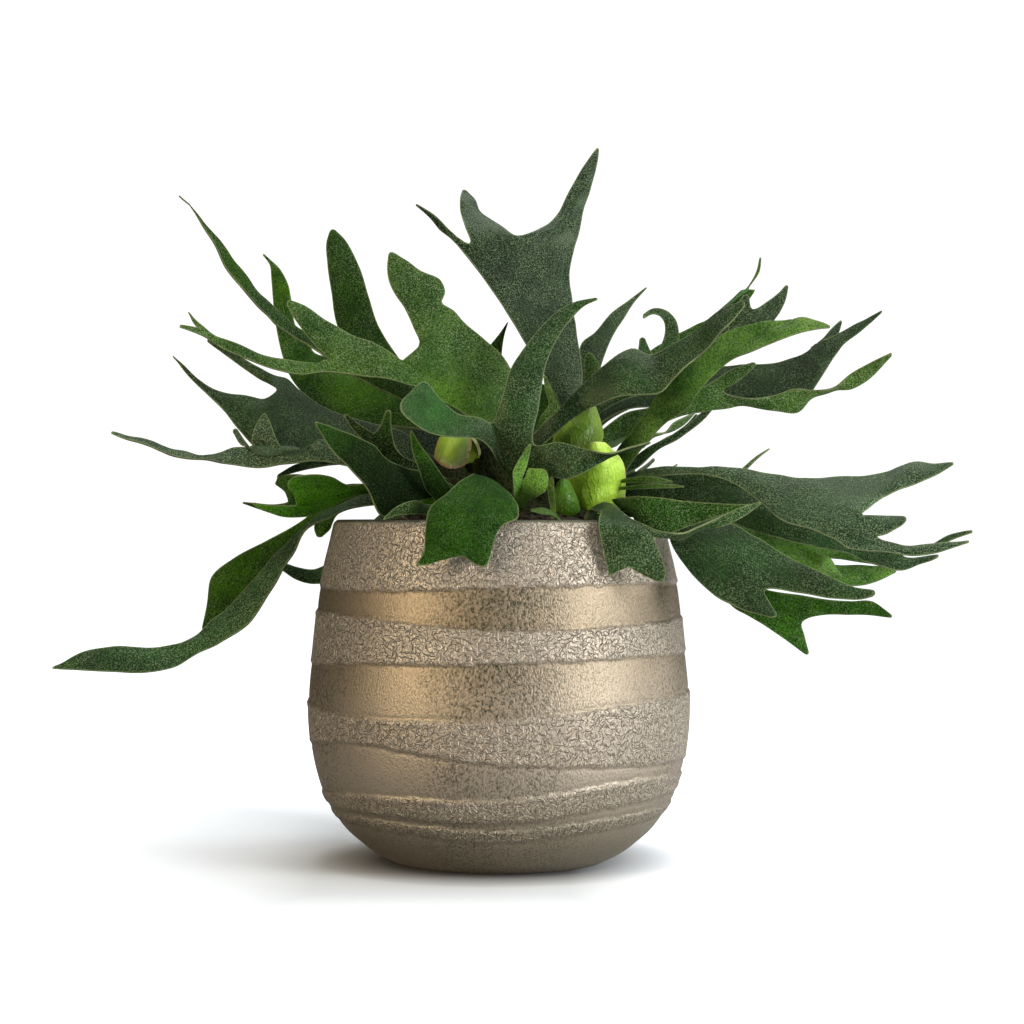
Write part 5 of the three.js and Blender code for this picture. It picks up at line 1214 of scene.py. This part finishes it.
class Graph:
    """The nodes of a material or of the world, laid from left to right as they are added."""

    def __init__(self, owner):
        owner.use_nodes = True
        self.owner = owner
        self.nodes = owner.node_tree.nodes
        self.links = owner.node_tree.links
        self.nodes.clear()

    def add(self, kind, inputs=None, **values):
        """Adds a node, sets its values, and sets or links its inputs."""
        node = self.nodes.new("ShaderNode" + kind)
        node.location = (len(self.nodes) * 180, 0)
        for key, value in values.items():
            setattr(node, key, value)
        for key, value in (inputs or {}).items():
            if isinstance(value, bpy.types.NodeSocket):
                self.links.new(value, node.inputs[key])
            else:
                node.inputs[key].default_value = value
        return node

    def number(self, operation, *inputs, clamp=False):
        """The result of one sum on numbers or sockets."""
        node = self.add("Math", dict(enumerate(inputs)), operation=operation, use_clamp=clamp)
        return node.outputs[0]

    def times(self, *inputs, clamp=False):
        """The product of two numbers or sockets."""
        return self.number("MULTIPLY", *inputs, clamp=clamp)

    def plus(self, *inputs):
        """The sum of two numbers or sockets."""
        return self.number("ADD", *inputs)

    def highest(self, *inputs):
        """The higher of two numbers or sockets."""
        return self.number("MAXIMUM", *inputs)

    def vector(self, operation, *inputs):
        """The result of one sum on vectors."""
        return self.add("VectorMath", dict(enumerate(inputs)), operation=operation).outputs[0]

    def scaled(self, vector, share):
        """A vector or a colour times a number."""
        return self.add("VectorMath", {0: vector, "Scale": share}, operation="SCALE").outputs[0]

    def split(self, vector):
        """A vector's three numbers, as X, Y and Z."""
        return self.add("SeparateXYZ", {"Vector": vector}).outputs

    def strip(self):
        """Where a point lies on its blade: its share of the width as X, and the way out as Y."""
        return self.split(self.add("UVMap", uv_map="strip").outputs["UV"])

    def own(self, name):
        """One of the numbers that the piece stores for its points."""
        return self.add("Attribute", attribute_name=name).outputs["Fac"]

    def ramp(self, value, *stops):
        """A colour or grey that follows a value through (place, colour) stops."""
        node = self.add("ValToRGB", {"Fac": value})
        elements = node.color_ramp.elements
        while len(elements) < len(stops):
            elements.new(0.5)
        for element, (place, colour) in zip(elements, stops):
            element.position = place
            element.color = (*colour, 1) if hasattr(colour, "__len__") else (colour, colour, colour, 1)
        return node.outputs["Color"]

    def mix(self, share, low, high):
        """Two colours mixed by a share."""
        node = self.add("Mix", data_type="RGBA")
        sockets = [socket for socket in node.inputs if socket.enabled]
        for socket, value in zip(sockets, (share, low, high)):
            if isinstance(value, bpy.types.NodeSocket):
                self.links.new(value, socket)
            elif socket.type == "RGBA":
                socket.default_value = (*value[:3], 1)
            else:
                socket.default_value = value
        return next(socket for socket in node.outputs if socket.enabled)

    def noise(self, place, size, detail=2.0, roughness=0.5):
        """Cloudy noise with features about size metres across."""
        inputs = {"Vector": place, "Scale": 1 / size, "Detail": detail, "Roughness": roughness}
        return self.add("TexNoise", inputs).outputs["Fac"]

    def bump(self, height, distance, strength=1.0, normal=None):
        """A relief from a height, whose full height is distance metres."""
        inputs = {"Height": height, "Distance": distance, "Strength": strength}
        if normal is not None:
            inputs["Normal"] = normal
        return self.add("Bump", inputs).outputs["Normal"]

    def finish(self, inputs):
        """Ends the graph in a Principled shader with these inputs."""
        self.end("OutputMaterial", self.add("BsdfPrincipled", inputs))
        return self.owner

    def end(self, kind, shader):
        """Leads a shader to the graph's output."""
        self.add(kind, {"Surface": shader.outputs[0]})


def material_graph(name):
    """A new material's graph, and the place of a point in metres."""
    graph = Graph(bpy.data.materials.new(name))
    return graph, graph.add("TexCoord").outputs["Object"]


def dimmed(colour, share):
    """A colour with this share of its light."""
    return tuple(part * share for part in colour)


def frond_upper(name, shade, tone, felt, gloss, veined):
    """A frond's upper face: mottled green with faint veins and star-haired felt."""
    graph, place = material_graph(name)
    strip = graph.strip()
    rim = graph.own("rim")
    cloud = graph.noise(place, 0.03, 3.0)
    mottle = graph.noise(place, 0.006, 3.0)
    shares = graph.number("MULTIPLY_ADD", mottle, 0.3, graph.times(cloud, 0.75))
    green = graph.mix(graph.ramp(shares, (0.4, 0), (0.64, 1)), shade, tone)
    pores = graph.noise(place, 0.0009, 2.0, 0.7)
    green = graph.mix(graph.ramp(pores, (0.4, 0.75), (0.54, 0)), green, dimmed(shade, 0.3))
    vein = vein_lines(graph, strip["X"], cloud, 0.07)
    # Painted light and shade: the stored lightness scales the green, partly for how lit or shaded the frond
    # stands
    lit = graph.scaled(green, graph.plus(graph.own("light"), 1.0))
    warmed = graph.mix(graph.own("warmth"), lit, graph.vector("MULTIPLY", lit, OLIVE))
    veined_green = graph.mix(graph.times(vein, veined), warmed, VEIN)
    inwards = graph.number("DIVIDE", rim, 0.01, clamp=True)
    patches = graph.noise(place, 0.016, 2.0)
    patches = graph.number("SUBTRACT", patches, graph.times(inwards, 0.15))
    dense = graph.ramp(patches, (0.2, 0.35), (0.5, 1))
    specks = graph.ramp(graph.noise(place, 0.0007, 1.0, 0.5), (0.48, 0), (0.67, 1))
    share = graph.times(graph.own("felt"), felt)
    hairs = graph.times(graph.times(specks, dense), share, clamp=True)
    felted = graph.mix(hairs, veined_green, FELT)
    brim = graph.ramp(graph.number("DIVIDE", rim, 0.001), (0.0, 1), (0.5, 0.3), (0.8, 0))
    colour = graph.mix(graph.times(brim, 0.55), felted, RIM)
    relief = graph.bump(vein, 0.00015, 0.5)
    relief = graph.bump(mottle, 0.0007, 0.5, relief)
    relief = graph.bump(specks, 0.00015, 0.5, relief)
    roughness = graph.number("MULTIPLY_ADD", hairs, 0.4, graph.own("dullness"), clamp=True)
    return graph.finish({
        "Base Color": colour,
        "Roughness": roughness,
        "Normal": relief,
        "Specular IOR Level": gloss,
        "Specular Tint": GLOSS_TINT,
    })


def vein_lines(graph, across, cloud, half):
    """Lengthwise veins at even shares of a blade's width, from 0 to 1."""
    lanes = graph.number("MULTIPLY_ADD", across, VEINS, graph.times(cloud, 1.1))
    offset = graph.number("ABSOLUTE", graph.number("SUBTRACT", graph.number("FRACT", lanes), 0.5))
    return graph.ramp(offset, (0.0, 1), (half / 2, 0.7), (half, 0))


def frond_under(name, shade, tone):
    """A frond's underside: paler, dull and densely felted."""
    graph, place = material_graph(name)
    strip = graph.strip()
    cloud = graph.noise(place, 0.02, 3.0)
    green = graph.mix(graph.ramp(cloud, (0.3, 0), (0.7, 1)), shade, tone)
    vein = vein_lines(graph, strip["X"], cloud, 0.12)
    specks = graph.ramp(graph.noise(place, 0.0009, 2.0, 0.6), (0.45, 0), (0.62, 1))
    felted = graph.mix(graph.times(specks, 0.22), green, FELT)
    colour = graph.mix(graph.times(vein, 0.2), felted, shade)
    relief = graph.bump(specks, 0.0002, 0.6, graph.bump(vein, 0.0003, 0.7))
    return graph.finish({"Base Color": colour, "Roughness": 0.75, "Normal": relief, "Sheen Weight": 0.06})


def frond_edge(name, colour):
    """The pale felted edge of a frond."""
    graph, place = material_graph(name)
    grain = graph.noise(place, 0.0009, 2.0)
    cloud = graph.noise(place, 0.012, 2.0)
    pale = graph.mix(graph.ramp(grain, (0.3, 0), (0.7, 1)), dimmed(colour, 0.5), colour)
    green = graph.mix(graph.ramp(cloud, (0.38, 0), (0.62, 1)), pale, dimmed(colour, 0.3))
    return graph.finish({"Base Color": green, "Roughness": 0.85, "Normal": graph.bump(grain, 0.0002)})


def shield_upper_face(name, shade, tone):
    """A shield frond's face: bright yellow-green with a fine net of veins and a pale crest."""
    graph, place = material_graph(name)
    strip = graph.strip()
    rim = graph.own("rim")
    cloud = graph.noise(place, 0.02, 3.0)
    stretched = graph.vector("MULTIPLY", place, (1.0, 1.0, 0.55))
    drift = graph.add("TexNoise", {"Vector": place, "Scale": 300.0, "Detail": 2.0}).outputs["Color"]
    shift = graph.scaled(drift, 0.002)
    moved = graph.vector("ADD", stretched, shift)
    fine = shield_net(graph, moved, 0.0026)
    broad = shield_net(graph, moved, 0.0065)
    grain = graph.noise(place, 0.0012, 2.0)
    green = graph.mix(graph.ramp(cloud, (0.36, 0), (0.68, 1)), shade, tone)
    young = graph.mix(graph.ramp(strip["Y"], (0.0, 0.75), (0.012, 0.0)), green, shade)
    netted = graph.mix(graph.times(fine, 0.28), young, SHIELD_VEIN)
    netted = graph.mix(graph.times(broad, 0.18), netted, SHIELD_VEIN)
    brim = graph.ramp(graph.number("DIVIDE", rim, 0.005), (0.0, 1), (0.3, 0.35), (1.0, 0))
    rimmed = graph.mix(graph.times(brim, 0.5), netted, SHIELD_RIM)
    # Painted light and shade: the stored lightness and the deep green, partly for how lit or shaded the
    # shield is
    lit = graph.scaled(rimmed, graph.plus(graph.own("light"), 1.0))
    greened = graph.mix(graph.own("felt"), lit, graph.vector("MULTIPLY", lit, DEEP_GREEN_AND_SHADE))
    dry = graph.times(graph.own("warmth"), brim)
    colour = graph.mix(graph.ramp(graph.times(dry, cloud), (0.1, 0), (0.4, 0.9)), greened, DRY)
    relief = graph.bump(fine, 0.0003, 0.6, graph.bump(broad, 0.0004, 0.5, graph.bump(cloud, 0.002, 0.4)))
    relief = graph.bump(grain, 0.0002, 0.4, relief)
    return graph.finish({
        "Base Color": colour,
        "Roughness": 0.38,
        "Normal": relief,
        "Specular IOR Level": 0.35,
        "Subsurface Weight": 0.08,
        "Subsurface Radius": (0.002, 0.003, 0.001),
    })


def shield_net(graph, place, size):
    """Veins between cells of about size metres, from 0 to 1."""
    cells = {"Vector": place, "Scale": 1 / size}
    off = graph.add("TexVoronoi", cells, feature="DISTANCE_TO_EDGE").outputs["Distance"]
    return graph.ramp(off, (0.0, 1), (0.06, 0.5), (0.14, 0))


def pot_glaze(name, bronze, shadow, foot):
    """The metallic glaze: pitted on the smooth bands, scratched with short strokes on the rough."""
    graph, place = material_graph(name)
    rough = graph.own("rough")
    axes = graph.split(place)
    upright = graph.vector("MULTIPLY", place, (1.0, 1.0, 0.75))
    fine = graph.ramp(graph.noise(upright, 0.0008, 1.0, 0.6), (0.28, 0), (0.72, 1))
    # Painted highlight: fewer dark pits, so a brighter and smoother glaze, at the sides where the
    # highlights fall in the front view (40 to 74 mm from the axis) and low on the pot; the dark pits stay
    # in the middle of the front and back.
    sideways = graph.times(graph.number("ABSOLUTE", axes["X"]), 10.0)
    calm_and_painted_highlight = graph.ramp(sideways, (0.1, 0.0), (0.4, 1.0), (0.74, 1.0), (0.92, 0.2))
    tall = graph.times(axes["Z"], 10.0)
    calm_and_painted_highlight = graph.highest(calm_and_painted_highlight, graph.ramp(tall, (0.5, 0.5), (0.75, 0.0)))
    pits = graph.ramp(graph.noise(upright, 0.0014, 2.0, 0.65), (0.34, 0), (0.64, 1))
    pits = graph.mix(graph.times(calm_and_painted_highlight, 0.8), pits, (0.8, 0.8, 0.8))
    pitted = graph.number("MULTIPLY_ADD", pits, 0.6, graph.times(fine, 0.4))
    round_wall = graph.number("ARCTAN2", axes["X"], graph.times(axes["Y"], -1.0))
    sheet = graph.add("CombineXYZ", {0: graph.times(round_wall, UNROLLED), 1: axes["Z"]}).outputs[0]
    ridges, grooves = scratches(graph, sheet, *RIDGES[0]), scratches(graph, sheet, *GROOVES[0])
    for ridge, groove in zip(RIDGES[1:], GROOVES[1:]):
        ridges = graph.highest(ridges, scratches(graph, sheet, *ridge))
        grooves = graph.highest(grooves, scratches(graph, sheet, *groove))
    scratched = graph.number("MULTIPLY_ADD", ridges, 0.5, graph.times(fine, 0.2))
    scratched = graph.plus(scratched, graph.number("MULTIPLY_ADD", grooves, -0.4, 0.3))
    height = graph.mix(rough, pitted, scratched)
    patina = graph.noise(place, 0.05, 4.0, 0.6)
    worn = graph.number("MULTIPLY_ADD", patina, 0.5, graph.plus(pitted, -0.25))
    wear = graph.ramp(worn, (0.15, 0.04), (0.68, 1))
    tinted = graph.mix(wear, shadow, bronze)
    grey = graph.ramp(graph.times(axes["Z"], 5.0), (0.2, 0.9), (0.6, 0.0))
    toned = graph.mix(grey, tinted, graph.mix(wear, shadow, PEWTER))
    # Painted light and shade on the strokes: the ridges are painted lighter and the grooves darker, on top
    # of their relief
    flaked_with_painted_light = graph.mix(fine, dimmed(PEWTER, 0.7), PEWTER)
    flaked_with_painted_light = graph.mix(graph.times(ridges, 0.65), flaked_with_painted_light, dimmed(PEWTER, 1.6))
    flaked_with_painted_light = graph.mix(graph.times(grooves, 0.8), flaked_with_painted_light, CREASE_SHADE)
    banded = graph.mix(rough, toned, flaked_with_painted_light)
    # Painted shade: the glaze is darker towards the foot, for the shade that the floor casts on the pot's
    # base
    low = graph.ramp(tall, (0.08, 1.0), (0.3, 0.45), (0.55, 0.0))
    foot_shaded = graph.mix(graph.times(low, 0.52), banded, graph.mix(height, shadow, foot))
    # Painted shade along the band edges: a ragged dark line, partly the glaze's own and partly the shade
    # under each step
    torn = graph.ramp(graph.noise(place, 0.003, 3.0, 0.7), (0.42, 0.0), (0.64, 0.4))
    crease_shaded = graph.mix(graph.times(graph.own("edge"), torn), foot_shaded, CREASE_SHADE)
    colour = graph.mix(graph.own("lip"), crease_shaded, LIP)
    depth = graph.number("MULTIPLY_ADD", rough, 0.6, 0.4)
    relief = graph.bump(graph.times(height, depth), 0.0008, 0.9)
    return graph.finish({
        "Base Color": colour,
        "Metallic": 0.92,
        "Roughness": 0.5,
        "Normal": relief,
        "Specular IOR Level": 0.5,
    })


def scratches(graph, sheet, size, shift):
    """Short bent strokes that lie every way, one to a cell of about size metres, from 0 to 1."""
    moved = graph.vector("ADD", sheet, (shift, shift, 0.0))
    cells = graph.add("TexVoronoi", {"Vector": moved, "Scale": 1 / size}, voronoi_dimensions="2D").outputs
    away = graph.vector("SUBTRACT", moved, cells["Position"])
    scaled = graph.scaled(away, 1 / size)
    chance = graph.split(cells["Color"])
    angle = graph.times(chance[0], 6.283)
    turned = graph.add("VectorRotate", {"Vector": scaled, "Angle": angle}, rotation_type="Z_AXIS")
    local = graph.split(turned.outputs[0])
    bend = graph.times(graph.times(local[1], local[1]), chance[1])
    across = graph.number("ABSOLUTE", graph.plus(local[0], bend))
    line = graph.ramp(across, (0.0, 1), (0.04, 0.8), (0.085, 0))
    reach = graph.ramp(graph.number("ABSOLUTE", local[1]), (0.0, 1), (0.42, 0.8), (0.58, 0))
    return graph.times(line, reach)


def soil_material(name, shade, tone):
    """Moist brown mix of crumbs, bark and coir."""
    graph, place = material_graph(name)
    cells = graph.add("TexVoronoi", {"Vector": place, "Scale": 420.0})
    cloud = graph.noise(place, 0.012, 3.0)
    grain = graph.noise(place, 0.0012, 3.0, 0.7)
    chip = graph.split(cells.outputs["Color"])["X"]
    share = graph.plus(graph.times(chip, 0.5), graph.times(cloud, 0.5))
    colour = graph.mix(graph.ramp(share, (0.3, 0), (0.8, 1)), shade, tone)
    dusty = graph.mix(graph.ramp(grain, (0.55, 0), (0.75, 0.5)), colour, dimmed(tone, 2.2))
    relief = graph.bump(grain, 0.0008, 0.8, graph.bump(cells.outputs["Distance"], 0.0015, 0.7))
    return graph.finish({"Base Color": dusty, "Roughness": 0.9, "Normal": relief})


def stem_material(name, shade, tone):
    """The creeping stem's papery scales: brown in life, near-black greens here as painted shade among the
    fronds.
    """
    graph, place = material_graph(name)
    cells = {"Vector": place, "Scale": 300.0}
    scales = graph.add("TexVoronoi", cells, feature="DISTANCE_TO_EDGE").outputs["Distance"]
    fibre = graph.noise(place, 0.0014, 3.0, 0.7)
    colour = graph.mix(graph.ramp(fibre, (0.35, 0), (0.7, 1)), shade, tone)
    edged = graph.mix(graph.ramp(scales, (0.0, 1), (0.12, 0)), colour, dimmed(tone, 1.6))
    relief = graph.bump(scales, 0.0012, 0.8, graph.bump(fibre, 0.0006))
    return graph.finish({
        "Base Color": edged,
        "Roughness": 0.85,
        "Normal": relief,
        "Specular IOR Level": 0.12,
    })


def floor_material(name, bounce, glow):
    """White studio floor with painted light: it glows far out and on its right, and throws little light
    back.
    """
    graph, place = material_graph(name)
    seen = graph.add("LightPath").outputs["Is Camera Ray"]
    cloud = graph.noise(place, 0.4, 2.0)
    white = graph.mix(cloud, (0.85, 0.92, 1.0), (0.86, 0.93, 1.0))
    distance = graph.add("VectorMath", {0: place}, operation="LENGTH").outputs["Value"]
    # Painted contact shadow: the floor's colour darkens within 0.1 metres of the pot's axis
    shaded = graph.mix(graph.ramp(distance, (0.062, 0.0), (0.1, 1.0)), (0.11, 0.115, 0.125), white)
    axes = graph.split(place)
    # Painted light: the light thrown back is stronger on the right side, which brightens the pot's low
    # right
    side = graph.number("MULTIPLY_ADD", axes["X"], 2.0, 0.5)
    thrown = graph.mix(graph.ramp(side, (0.3, 0.0), (0.7, 1.0)), (bounce * 0.6,) * 3, (bounce * 1.6,) * 3)
    colour = graph.mix(seen, thrown, shaded)
    # Painted light: the floor glows for the eye only, rising to the left, to the right and far in front and
    # behind; these ramps whiten the floor and shape the pot's cast shadow.
    leftward = graph.times(axes["X"], -1.0)
    left = graph.ramp(leftward, (0.09, 0.0), (0.127, 0.2), (0.2, 0.42), (0.3, 0.64), (0.6, 1.0))
    right = graph.ramp(axes["X"], (0.035, 0.0), (0.1, 0.6), (0.6, 1.0))
    away = graph.number("ABSOLUTE", axes["Y"])
    lit = graph.highest(left, graph.ramp(away, (0.12, 0.0), (0.3, 0.6), (0.6, 1.0)))
    lit = graph.highest(lit, right)
    light = graph.times(graph.times(lit, seen), glow)
    return graph.finish({
        "Base Color": colour,
        "Roughness": 0.9,
        "Emission Color": (0.94, 0.97, 1.0, 1.0),
        "Emission Strength": light,
    })


# Settings


def tint_setting(name, description, default):
    """A colour that the user can change."""
    return FloatVectorProperty(
        name=name, description=description, default=default, subtype="COLOR", size=3, min=0, max=1,
    )


def setting(name, description, default, **limits):
    """A number from 0 up that the user can change."""
    return FloatProperty(name=name, description=description, default=default, min=0, **limits)


class StaghornFronds(PropertyGroup):
    """Shapes and colours of the fronds."""

    wave: setting("Wave", "Height of the slow waves in the blades", 0.0022, unit="LENGTH")
    ruffle: setting("Ruffle", "Height of the short waves along the edges", 0.0014, unit="LENGTH")
    felt: setting("Felt", "How thick the pale star hairs lie", 1.0, max=2)
    grey_shade: tint_setting("Grey shade", "Dark part of the old grey-green fronds", (0.005, 0.021, 0.007))
    grey_tone: tint_setting("Grey tone", "Light part of the old grey-green fronds", (0.022, 0.054, 0.022))
    dark_shade: tint_setting("Dark shade", "Dark part of the dark green fronds", (0.0025, 0.019, 0.002))
    dark_tone: tint_setting("Dark tone", "Light part of the dark green fronds", (0.013, 0.058, 0.008))
    fresh_shade: tint_setting("Fresh shade", "Dark part of the fresh green fronds", (0.005, 0.036, 0.0003))
    fresh_tone: tint_setting("Fresh tone", "Light part of the fresh green fronds", (0.024, 0.1, 0.0012))
    pale_shade: tint_setting("Pale shade", "Dark part of the light green fronds", (0.016, 0.06, 0.005))
    pale_tone: tint_setting("Pale tone", "Light part of the light green fronds", (0.064, 0.15, 0.018))
    shield_shade: tint_setting("Shield shade", "Dark part of the shield fronds", (0.09, 0.19, 0.004))
    shield_tone: tint_setting("Shield tone", "Light part of the shield fronds", (0.42, 0.62, 0.065))


class StaghornPot(PropertyGroup):
    """Colours of the pot, the mix and the stem."""

    bronze: tint_setting("Bronze", "The glaze on the raised parts", (0.325, 0.27, 0.196))
    shadow: tint_setting("Shadow", "The glaze in the hollows", (0.045, 0.05, 0.028))
    # Painted shade: the foot colour darkens the glaze towards the pot's base
    foot: tint_setting("Foot", "The glaze near the foot", (0.24, 0.225, 0.17))
    soil_shade: tint_setting("Soil shade", "Dark part of the potting mix", (0.01, 0.007, 0.004))
    soil_tone: tint_setting("Soil tone", "Light part of the potting mix", (0.05, 0.03, 0.016))
    # The stem's near-black greens are painted shade, for the deep shade among the fronds' bases
    stem_shade: tint_setting("Stem shade", "Dark part of the creeping stem", (0.004, 0.006, 0.001))
    stem_tone: tint_setting("Stem tone", "Light part of the creeping stem", (0.018, 0.024, 0.007))


class StaghornStage(PropertyGroup):
    """Camera and lights."""

    lens: setting("Lens", "Focal length of the camera", EYE_LENS, unit="CAMERA")
    key: setting("Key", "Strength of the right light", 17.0, unit="POWER")
    fill: setting("Fill", "Strength of the left light", 10.5, unit="POWER")
    side: setting("Side", "Strength of the light far to the right", 5.0, unit="POWER")
    top: setting("Top", "Strength of the light above", 9.0, unit="POWER")
    sky: setting("Sky", "Strength of the soft light all round", 0.22)
    bounce: setting("Floor bounce", "Light that the floor throws back", 0.42)
    glow: setting("Floor glow", "Light of the floor far from the pot", 1.0)


# Operators


class STAGHORN_OT_pot(Operator):
    """Make the glazed pot with its wavy rough bands"""

    bl_idname = "staghorn.pot"
    bl_label = "Pot"

    def execute(self, context):
        look = context.scene.staghorn_pot
        glaze = pot_glaze("bronze_glaze", look.bronze, look.shadow, look.foot)
        finish_piece(pot_piece("glazed_pot"), [glaze], "glaze", "pot")
        return {"FINISHED"}


class STAGHORN_OT_soil(Operator):
    """Make the potting mix with its crumbs, and the creeping stem in it"""

    bl_idname = "staghorn.soil"
    bl_label = "Potting mix and stem"

    def execute(self, context):
        look = context.scene.staghorn_pot
        soil = soil_material("moist_mix", look.soil_shade, look.soil_tone)
        finish_piece(mix_piece("crumbly_mix"), [soil], "mix", "potting_mix")
        scales = stem_material("stem_scales", look.stem_shade, look.stem_tone)
        finish_piece(stem_piece("creeping_stem"), [scales], "stem", "rhizome")
        return {"FINISHED"}


class STAGHORN_OT_fronds(Operator):
    """Make the antler fronds, near and far, and the small blades between them"""

    bl_idname = "staghorn.fronds"
    bl_label = "Antler fronds"

    def execute(self, context):
        look = context.scene.staghorn_fronds
        finishes = frond_finishes(look)
        waves = (look.wave / MM, look.ruffle / MM)
        drawings = {frond["name"]: frond for frond in FRONDS}
        strips = {
            name: strip_from_drawing(drawing, TONGUE_COLUMNS, drawing["tilt"])
            for name, drawing in drawings.items()
        }
        for name, like, turn, root, size in FAR_FRONDS:
            drawn = strips[like]
            start = (drawn["left"][0] + drawn["right"][0]) / 2
            strips[name] = turned_strip(drawn, start, turn, root, size)
            drawings[name] = {**drawings[like], "look": None}
        for seed, (name, strip) in enumerate(strips.items()):
            make_frond(name, drawings[name], strip, waves, seed, finishes, STALK, name)
        for seed, small in enumerate(SMALL_FRONDS, SMALL_SEED):
            strip = strip_from_drawing(small, TONGUE_COLUMNS)
            make_frond(small["name"], small, strip, SMALL_WAVES, seed, finishes, BLADE)
        return {"FINISHED"}


class STAGHORN_OT_shields(Operator):
    """Make the rounded shield fronds that clasp the stem"""

    bl_idname = "staghorn.shields"
    bl_label = "Shield fronds"

    def execute(self, context):
        look = context.scene.staghorn_fronds
        face = shield_upper_face("shield_face", look.shield_shade, look.shield_tone)
        under = frond_under("shield_under", look.shield_shade, look.shield_tone)
        faces = [face, under, frond_edge("shield_edge", SHIELD_RIM)]
        for seed, shield in enumerate(SHIELDS, SHIELD_SEED):
            strip = strip_from_drawing(shield, SHIELD_COLUMNS)
            name, arch = shield["name"], shield["arch"]
            piece = blade_piece("leaf_" + name, strip, arch, *SHIELD_WAVES, seed, faces)
            light, deep, dry = shield["look"]
            store_look(piece, light, deep, 0.0, dry)
            finish_piece(piece, faces, shield["finish"], name)
        return {"FINISHED"}


class STAGHORN_OT_stage(Operator):
    """Make the floor, the soft lights and the camera"""

    bl_idname = "staghorn.stage"
    bl_label = "Stage"

    def execute(self, context):
        look = context.scene.staghorn_stage
        make_floor(look.bounce, look.glow)
        make_sky(context.scene, look.sky)
        for name, (place, size, colour) in SOFT_LIGHTS.items():
            soft_light(name + "_light", place, size, getattr(look, name), colour)
        make_camera(context.scene, look.lens)
        return {"FINISHED"}


def make_frond(name, drawing, strip, waves, seed, finishes, stalk, *nodes):
    """One antler frond, with its own look or else that of its finish."""
    kind, *look = drawing["look"] or LOOKS[drawing["finish"]]
    piece = blade_piece("leaf_" + name, strip, ARCH, *waves, seed, finishes[kind], stalk)
    store_look(piece, *look)
    finish_piece(piece, finishes[kind], drawing["finish"], *nodes)


def frond_finishes(look):
    """Upper face, underside and edge of each kind of antler frond."""
    edge = frond_edge("frond_edge", RIM)
    finishes = {}
    for kind, (gloss, veined) in SHINE.items():
        shade, tone = getattr(look, kind + "_shade"), getattr(look, kind + "_tone")
        upper = frond_upper(kind + "_upper", shade, tone, look.felt, gloss, veined)
        under = frond_under(kind + "_under", dimmed(shade, 1.6), dimmed(tone, 1.8))
        finishes[kind] = [upper, under, edge]
    return finishes


def make_floor(bounce, glow):
    """A wide white floor under the pot."""
    deselect_all()
    bpy.ops.mesh.primitive_grid_add(x_subdivisions=8, y_subdivisions=8, size=14, location=(0, 3, 0))
    floor = bpy.context.object
    bpy.ops.object.transform_apply(location=True, rotation=True, scale=True)
    floor.name = "studio_floor"
    floor.data.materials.append(floor_material("studio_white", bounce, glow))


def make_sky(scene, strength):
    """Soft light all round: bright above and in front, dim behind, and plain white to the eye."""
    graph = Graph(bpy.data.worlds.new("studio"))
    axes = graph.split(graph.add("TexCoord").outputs["Generated"])
    fade = {"Value": axes["Y"], "From Min": -0.9, "From Max": 0.5, "To Min": 1.0, "To Max": 0.1}
    ahead = graph.add("MapRange", fade).outputs[0]
    light = graph.times(graph.number("MULTIPLY_ADD", axes["Z"], 0.6, ahead), strength)
    soft = graph.add("Background", {"Color": (1, 1, 1, 1), "Strength": light})
    white = graph.add("Background", {"Color": (1, 1, 1, 1), "Strength": 1.1})
    seen = graph.add("LightPath").outputs["Is Camera Ray"]
    choice = graph.add("MixShader", {0: seen, 1: soft.outputs[0], 2: white.outputs[0]})
    graph.end("OutputWorld", choice)
    scene.world = graph.owner


def soft_light(name, place, size, power, colour):
    """One soft box that looks at the middle of the pot."""
    bpy.ops.object.light_add(type="AREA", location=place)
    lamp = bpy.context.object
    lamp.name = lamp.data.name = name
    lamp.data.shape = "RECTANGLE"
    lamp.data.size, lamp.data.size_y = size
    lamp.data.energy = power
    lamp.data.color = colour
    aim = Vector(AIM) - lamp.location
    lamp.rotation_euler = aim.to_track_quat("-Z", "Y").to_euler()


def make_camera(scene, lens):
    """The camera where the photograph's eye is."""
    bpy.ops.object.camera_add(location=[place * MM for place in EYE], rotation=(math.radians(90), 0, 0))
    camera = bpy.context.object
    camera.data.lens = lens
    camera.data.sensor_width = 36
    camera.data.clip_end = 50
    scene.camera = camera
    scene.view_settings.view_transform = "Standard"
    scene.view_settings.look = "None"


class STAGHORN_PT_panel(Panel):
    """The pieces of the potted fern"""

    bl_idname = "STAGHORN_PT_panel"
    bl_label = "Staghorn fern"
    bl_space_type = "VIEW_3D"
    bl_region_type = "UI"
    bl_category = "Staghorn"

    def draw(self, context):
        column = self.layout.column()
        for operator in MAKERS:
            column.operator(operator.bl_idname)
        for name in SETTINGS:
            settings = getattr(context.scene, name)
            for key in settings.bl_rna.properties.keys():
                if key not in ("rna_type", "name"):
                    column.prop(settings, key)


MAKERS = (
    STAGHORN_OT_stage,
    STAGHORN_OT_pot,
    STAGHORN_OT_soil,
    STAGHORN_OT_fronds,
    STAGHORN_OT_shields,
)
SETTINGS = {
    "staghorn_fronds": StaghornFronds,
    "staghorn_pot": StaghornPot,
    "staghorn_stage": StaghornStage,
}
CLASSES = (*SETTINGS.values(), *MAKERS, STAGHORN_PT_panel)


def register():
    """Registers the settings, the operators and the panel."""
    for cls in CLASSES:
        bpy.utils.register_class(cls)
    for name, settings in SETTINGS.items():
        setattr(bpy.types.Scene, name, PointerProperty(type=settings))


def unregister():
    """Takes the settings, the operators and the panel out again."""
    for name in SETTINGS:
        delattr(bpy.types.Scene, name)
    for cls in reversed(CLASSES):
        bpy.utils.unregister_class(cls)


def main():
    """Makes every piece in order."""
    register()
    bpy.ops.staghorn.stage()
    bpy.ops.staghorn.pot()
    bpy.ops.staghorn.soil()
    bpy.ops.staghorn.fronds()
    bpy.ops.staghorn.shields()


if __name__ == "__main__":
    main()
